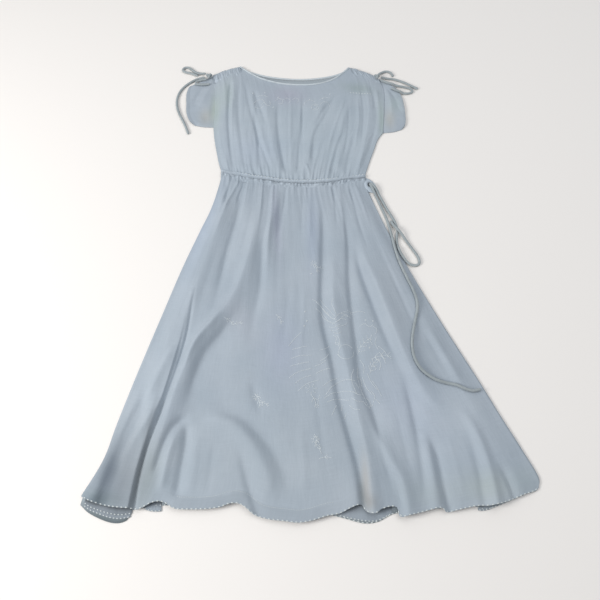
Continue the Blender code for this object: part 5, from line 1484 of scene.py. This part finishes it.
def bead_mesh(name, centres, ways, ups, half_lengths, radius):
    """Many small padded stitches as one mesh: each a spindle of six sides, flattened towards its cloth."""
    sides = 6
    turn = np.arange(sides) * 2 * math.pi / sides
    template = [(-1.0, 0.0, 0.0)]
    for share, width in BEAD_RINGS:
        template += [(2 * share - 1, width * math.cos(a), width * math.sin(a)) for a in turn]
    template.append((1.0, 0.0, 0.0))
    template = np.array(template)
    last = len(template) - 1
    faces = [(0, 1 + (i + 1) % sides, 1 + i) for i in range(sides)]
    for ring in range(len(BEAD_RINGS) - 1):
        first = 1 + ring * sides
        for i in range(sides):
            j = (i + 1) % sides
            faces.append((first + i, first + j, first + sides + j, first + sides + i))
    faces += [(last, last - sides + i, last - sides + (i + 1) % sides) for i in range(sides)]
    ways = ways / np.linalg.norm(ways, axis=1)[:, None]
    acrosses = np.cross(ups, ways)
    acrosses /= np.linalg.norm(acrosses, axis=1)[:, None]
    normals = np.cross(ways, acrosses)
    points = (
        centres[:, None]
        + half_lengths[:, None, None] * template[None, :, :1] * ways[:, None]
        + radius * template[None, :, 1:2] * acrosses[:, None]
        + radius * STITCH_FLATNESS * template[None, :, 2:] * normals[:, None]
    )
    count = len(template)
    mesh = bpy.data.meshes.new(name)
    mesh.from_pydata(
        points.reshape(-1, 3).tolist(),
        [],
        [tuple(k + n * count for k in face) for n in range(len(centres)) for face in faces],
    )
    mesh.polygons.foreach_set("use_smooth", np.ones(len(mesh.polygons), bool))
    mesh.update()
    return mesh


def laid(points, tree):
    """x, y points laid just above a surface: those that land on it, with its normals and which they were."""
    found, normals, kept = [], [], []
    for i, (x, y) in enumerate(points):
        hit, normal, _, _ = tree.ray_cast(Vector((x, y, 1.0)), Vector((0, 0, -1)))
        if hit is not None:
            found.append((x, y, hit.z + STITCH_LIFT))
            normals.append(normal if normal.z > 0 else -normal)
            kept.append(i)
    return np.array(found), np.array([tuple(n) for n in normals]), np.array(kept)


def stitch_runs(name, runs, tree, pitch, share, radius, paint=THREADS):
    """Runs of stitches along curves on a surface, one every pitch, each covering this share of it."""
    centres, ways, ups = [], [], []
    for run in runs:
        line = evenly(run, pitch)
        middles, steps = (line[1:] + line[:-1]) / 2, np.diff(line, axis=0)
        found, normals, kept = laid(middles, tree)
        if not len(kept):
            continue
        ahead, _, ahead_kept = laid(middles[kept] + steps[kept] * 0.3, tree)
        if not len(ahead_kept):
            continue
        found, normals = found[ahead_kept], normals[ahead_kept]
        centres.append(found)
        ways.append(ahead - found)
        ups.append(normals)
    centres, ways, ups = np.vstack(centres), np.vstack(ways), np.vstack(ups)
    half = np.full(len(centres), pitch * share / 2)
    return place(name, bead_mesh(name, centres, ways, ups, half, radius), paint, "embroidery")


def sprig_runs(sprig):
    """A slightly bowed stem and short leaves on both its sides, shorter towards its tip."""
    angle = math.radians(sprig.angle)
    way = np.array((math.cos(angle), math.sin(angle)))
    side = np.array((-way[1], way[0]))
    foot = np.array((sprig.x, sprig.y))

    def on_stem(t):
        return foot + way * sprig.length * t + side * 0.10 * sprig.length * math.sin(math.pi * t)

    runs = [[on_stem(t) for t in (0, 0.35, 0.7, 1)]]
    for i in range(sprig.pairs):
        t = (i + 0.6) / (sprig.pairs + 0.2)
        root = on_stem(t)
        reach = sprig.length * (0.34 - 0.12 * t)
        for hand in (-1, 1):
            tip = root + reach * (0.75 * way + hand * 0.66 * side)
            runs.append([root, root + 0.55 * (tip - root) + 0.12 * reach * hand * side, tip])
    return runs


def embroidery_runs():
    skirt = list(SKIRT_STROKES)
    for sprig in SPRIGS:
        skirt += sprig_runs(sprig)
    for x, y, radius in FLOWERS:
        for k in range(7):
            a = 2 * math.pi * k / 7 + 0.2
            reaches = [radius * r for r in (0.35, 0.7, 1.0)]
            skirt.append([(x + r * math.cos(a), y + r * math.sin(a)) for r in reaches])
    turns = np.linspace(0.6, 2 * math.pi + 0.2, 22)
    rings = [[(x + r * math.cos(a), y + r * math.sin(a)) for a in turns] for x, y, r in RINGS]
    turns = np.linspace(0, 5.0, 5)
    dots = [[(x + DOT_RADIUS * math.cos(a), y + DOT_RADIUS * math.sin(a)) for a in turns] for x, y in DOTS]
    return {
        "embroidery_skirt": (skirt + rings[:1], [d for d in dots if d[0][1] < 0]),
        "embroidery_yoke": (list(YOKE_STROKES) + rings[1:], [d for d in dots if d[0][1] > 0]),
    }


def top_tree(*names):
    graph = bpy.context.evaluated_depsgraph_get()
    points, faces = [], []
    for name in names:
        mesh = bpy.data.objects[name].evaluated_get(graph).to_mesh()
        start = len(points)
        points += [tuple(v.co) for v in mesh.vertices]
        faces += [tuple(start + k for k in f.vertices) for f in mesh.polygons]
        bpy.data.objects[name].evaluated_get(graph).to_mesh_clear()
    return BVHTree.FromPolygons(points, faces)


def make_stitches():
    """The embroidery, and the sewing that shows along the hems, the waist's seam and the seam at one shoulder."""
    front = top_tree("skirt_front_cloth")
    bodice_front = top_tree("bodice_front_cloth")
    on_skirt, on_bodice = [], []
    for name, (lines, dots) in embroidery_runs().items():
        sheet, tree = (on_skirt, front) if name == "embroidery_skirt" else (on_bodice, bodice_front)
        sheet.append(stitch_runs(name, lines, tree, 0.0034, 1.12, YARN, YARNS))
        sheet.append(stitch_runs(name + "_dots", dots, tree, 0.0020, 1.2, YARN * 1.3, YARNS))

    def inset(table, distance, points=90):
        return [tuple(p) for p in beside(along(table, np.linspace(0.004, 0.996, points)), distance)]

    on_skirt.append(stitch_runs("hem_edge_stitches", [inset(HEM_FRONT, 0.0010)], front, 0.0088, 0.60, EDGING))
    line = [p for p in inset(HEM_FRONT, HEM_DEPTH * 0.88) if -0.268 < p[0] < 0.050]
    on_skirt.append(stitch_runs("hem_line_stitches", [line], front, 0.0045, 0.75, THREAD))
    line = [p for p in inset(HEM_BACK, 0.0010) if p[0] > -0.335]
    back = top_tree("skirt_back_cloth")
    on_back = [stitch_runs("hem_back_stitches", [line], back, 0.0088, 0.60, EDGING)]
    for layer in HEM_LAYERS:
        line, tree = inset(layer.lower, 0.0012, 24), top_tree(layer.name)
        on_skirt.append(stitch_runs(layer.name + "_stitches", [line], tree, 0.0070, 0.60, EDGING))
    share = np.linspace(0.01, 0.99, 160)
    seam = along(WAIST, share) + np.stack([0 * share, 0.0122 + casing_lift(share)], axis=-1)
    tree = top_tree("waist_casing_cloth")
    on_casing = [stitch_runs("waist_seam_stitches", [seam], tree, 0.0080, 0.60, SEAM_THREAD)]
    yoke = ((0.110, 0.4855), (0.140, 0.4830), (0.168, 0.4800))
    on_bodice.append(stitch_runs("shoulder_seam_stitches", [yoke], bodice_front, 0.0070, 0.72, SEAM_THREAD))
    return on_skirt, on_bodice, on_back, on_casing


# ---- the whole dress

make_camera()
make_floor()
make_lights()

skirt = make_skirt_front()
bodice, bodice_points = make_bodice_front()
skirt_back, bodice_back = make_backs()
hem_layers = make_hem_layers()
casing, casing_back = make_waist_casing()
casing_end = make_casing_end()
casing_right, casing_left = make_shoulder_casings(bodice_points)
neck_back = make_bindings()
sleeve_right = make_sleeve(
    "sleeve_right_cloth", "sleeve_right", -1, ARMHOLE_LEFT,
    SLEEVE_LEFT_TOP, SLEEVE_LEFT_CUFF, SLEEVE_LEFT_UNDER, SLEEVE_RIGHT_FOLDS, SLEEVE_RIGHT_SPOTS,
)
sleeve_left = make_sleeve(
    "sleeve_left_cloth", "sleeve_left", 1, ARMHOLE_RIGHT,
    SLEEVE_RIGHT_TOP, SLEEVE_RIGHT_CUFF, SLEEVE_RIGHT_UNDER, SLEEVE_LEFT_FOLDS, SLEEVE_LEFT_SPOTS,
)
make_cords()
on_skirt, on_bodice, on_back, on_casing = make_stitches()
make_knot("tie_knot_right_wound", "tie_knot_right", (-0.2600, 0.5400, 0.0104), (0.0085, 0.0060, 0.0056), 91)
make_knot("tie_knot_left_wound", "tie_knot_left", (0.1835, 0.5385, 0.0104), (0.0070, 0.0060, 0.0056), 93)
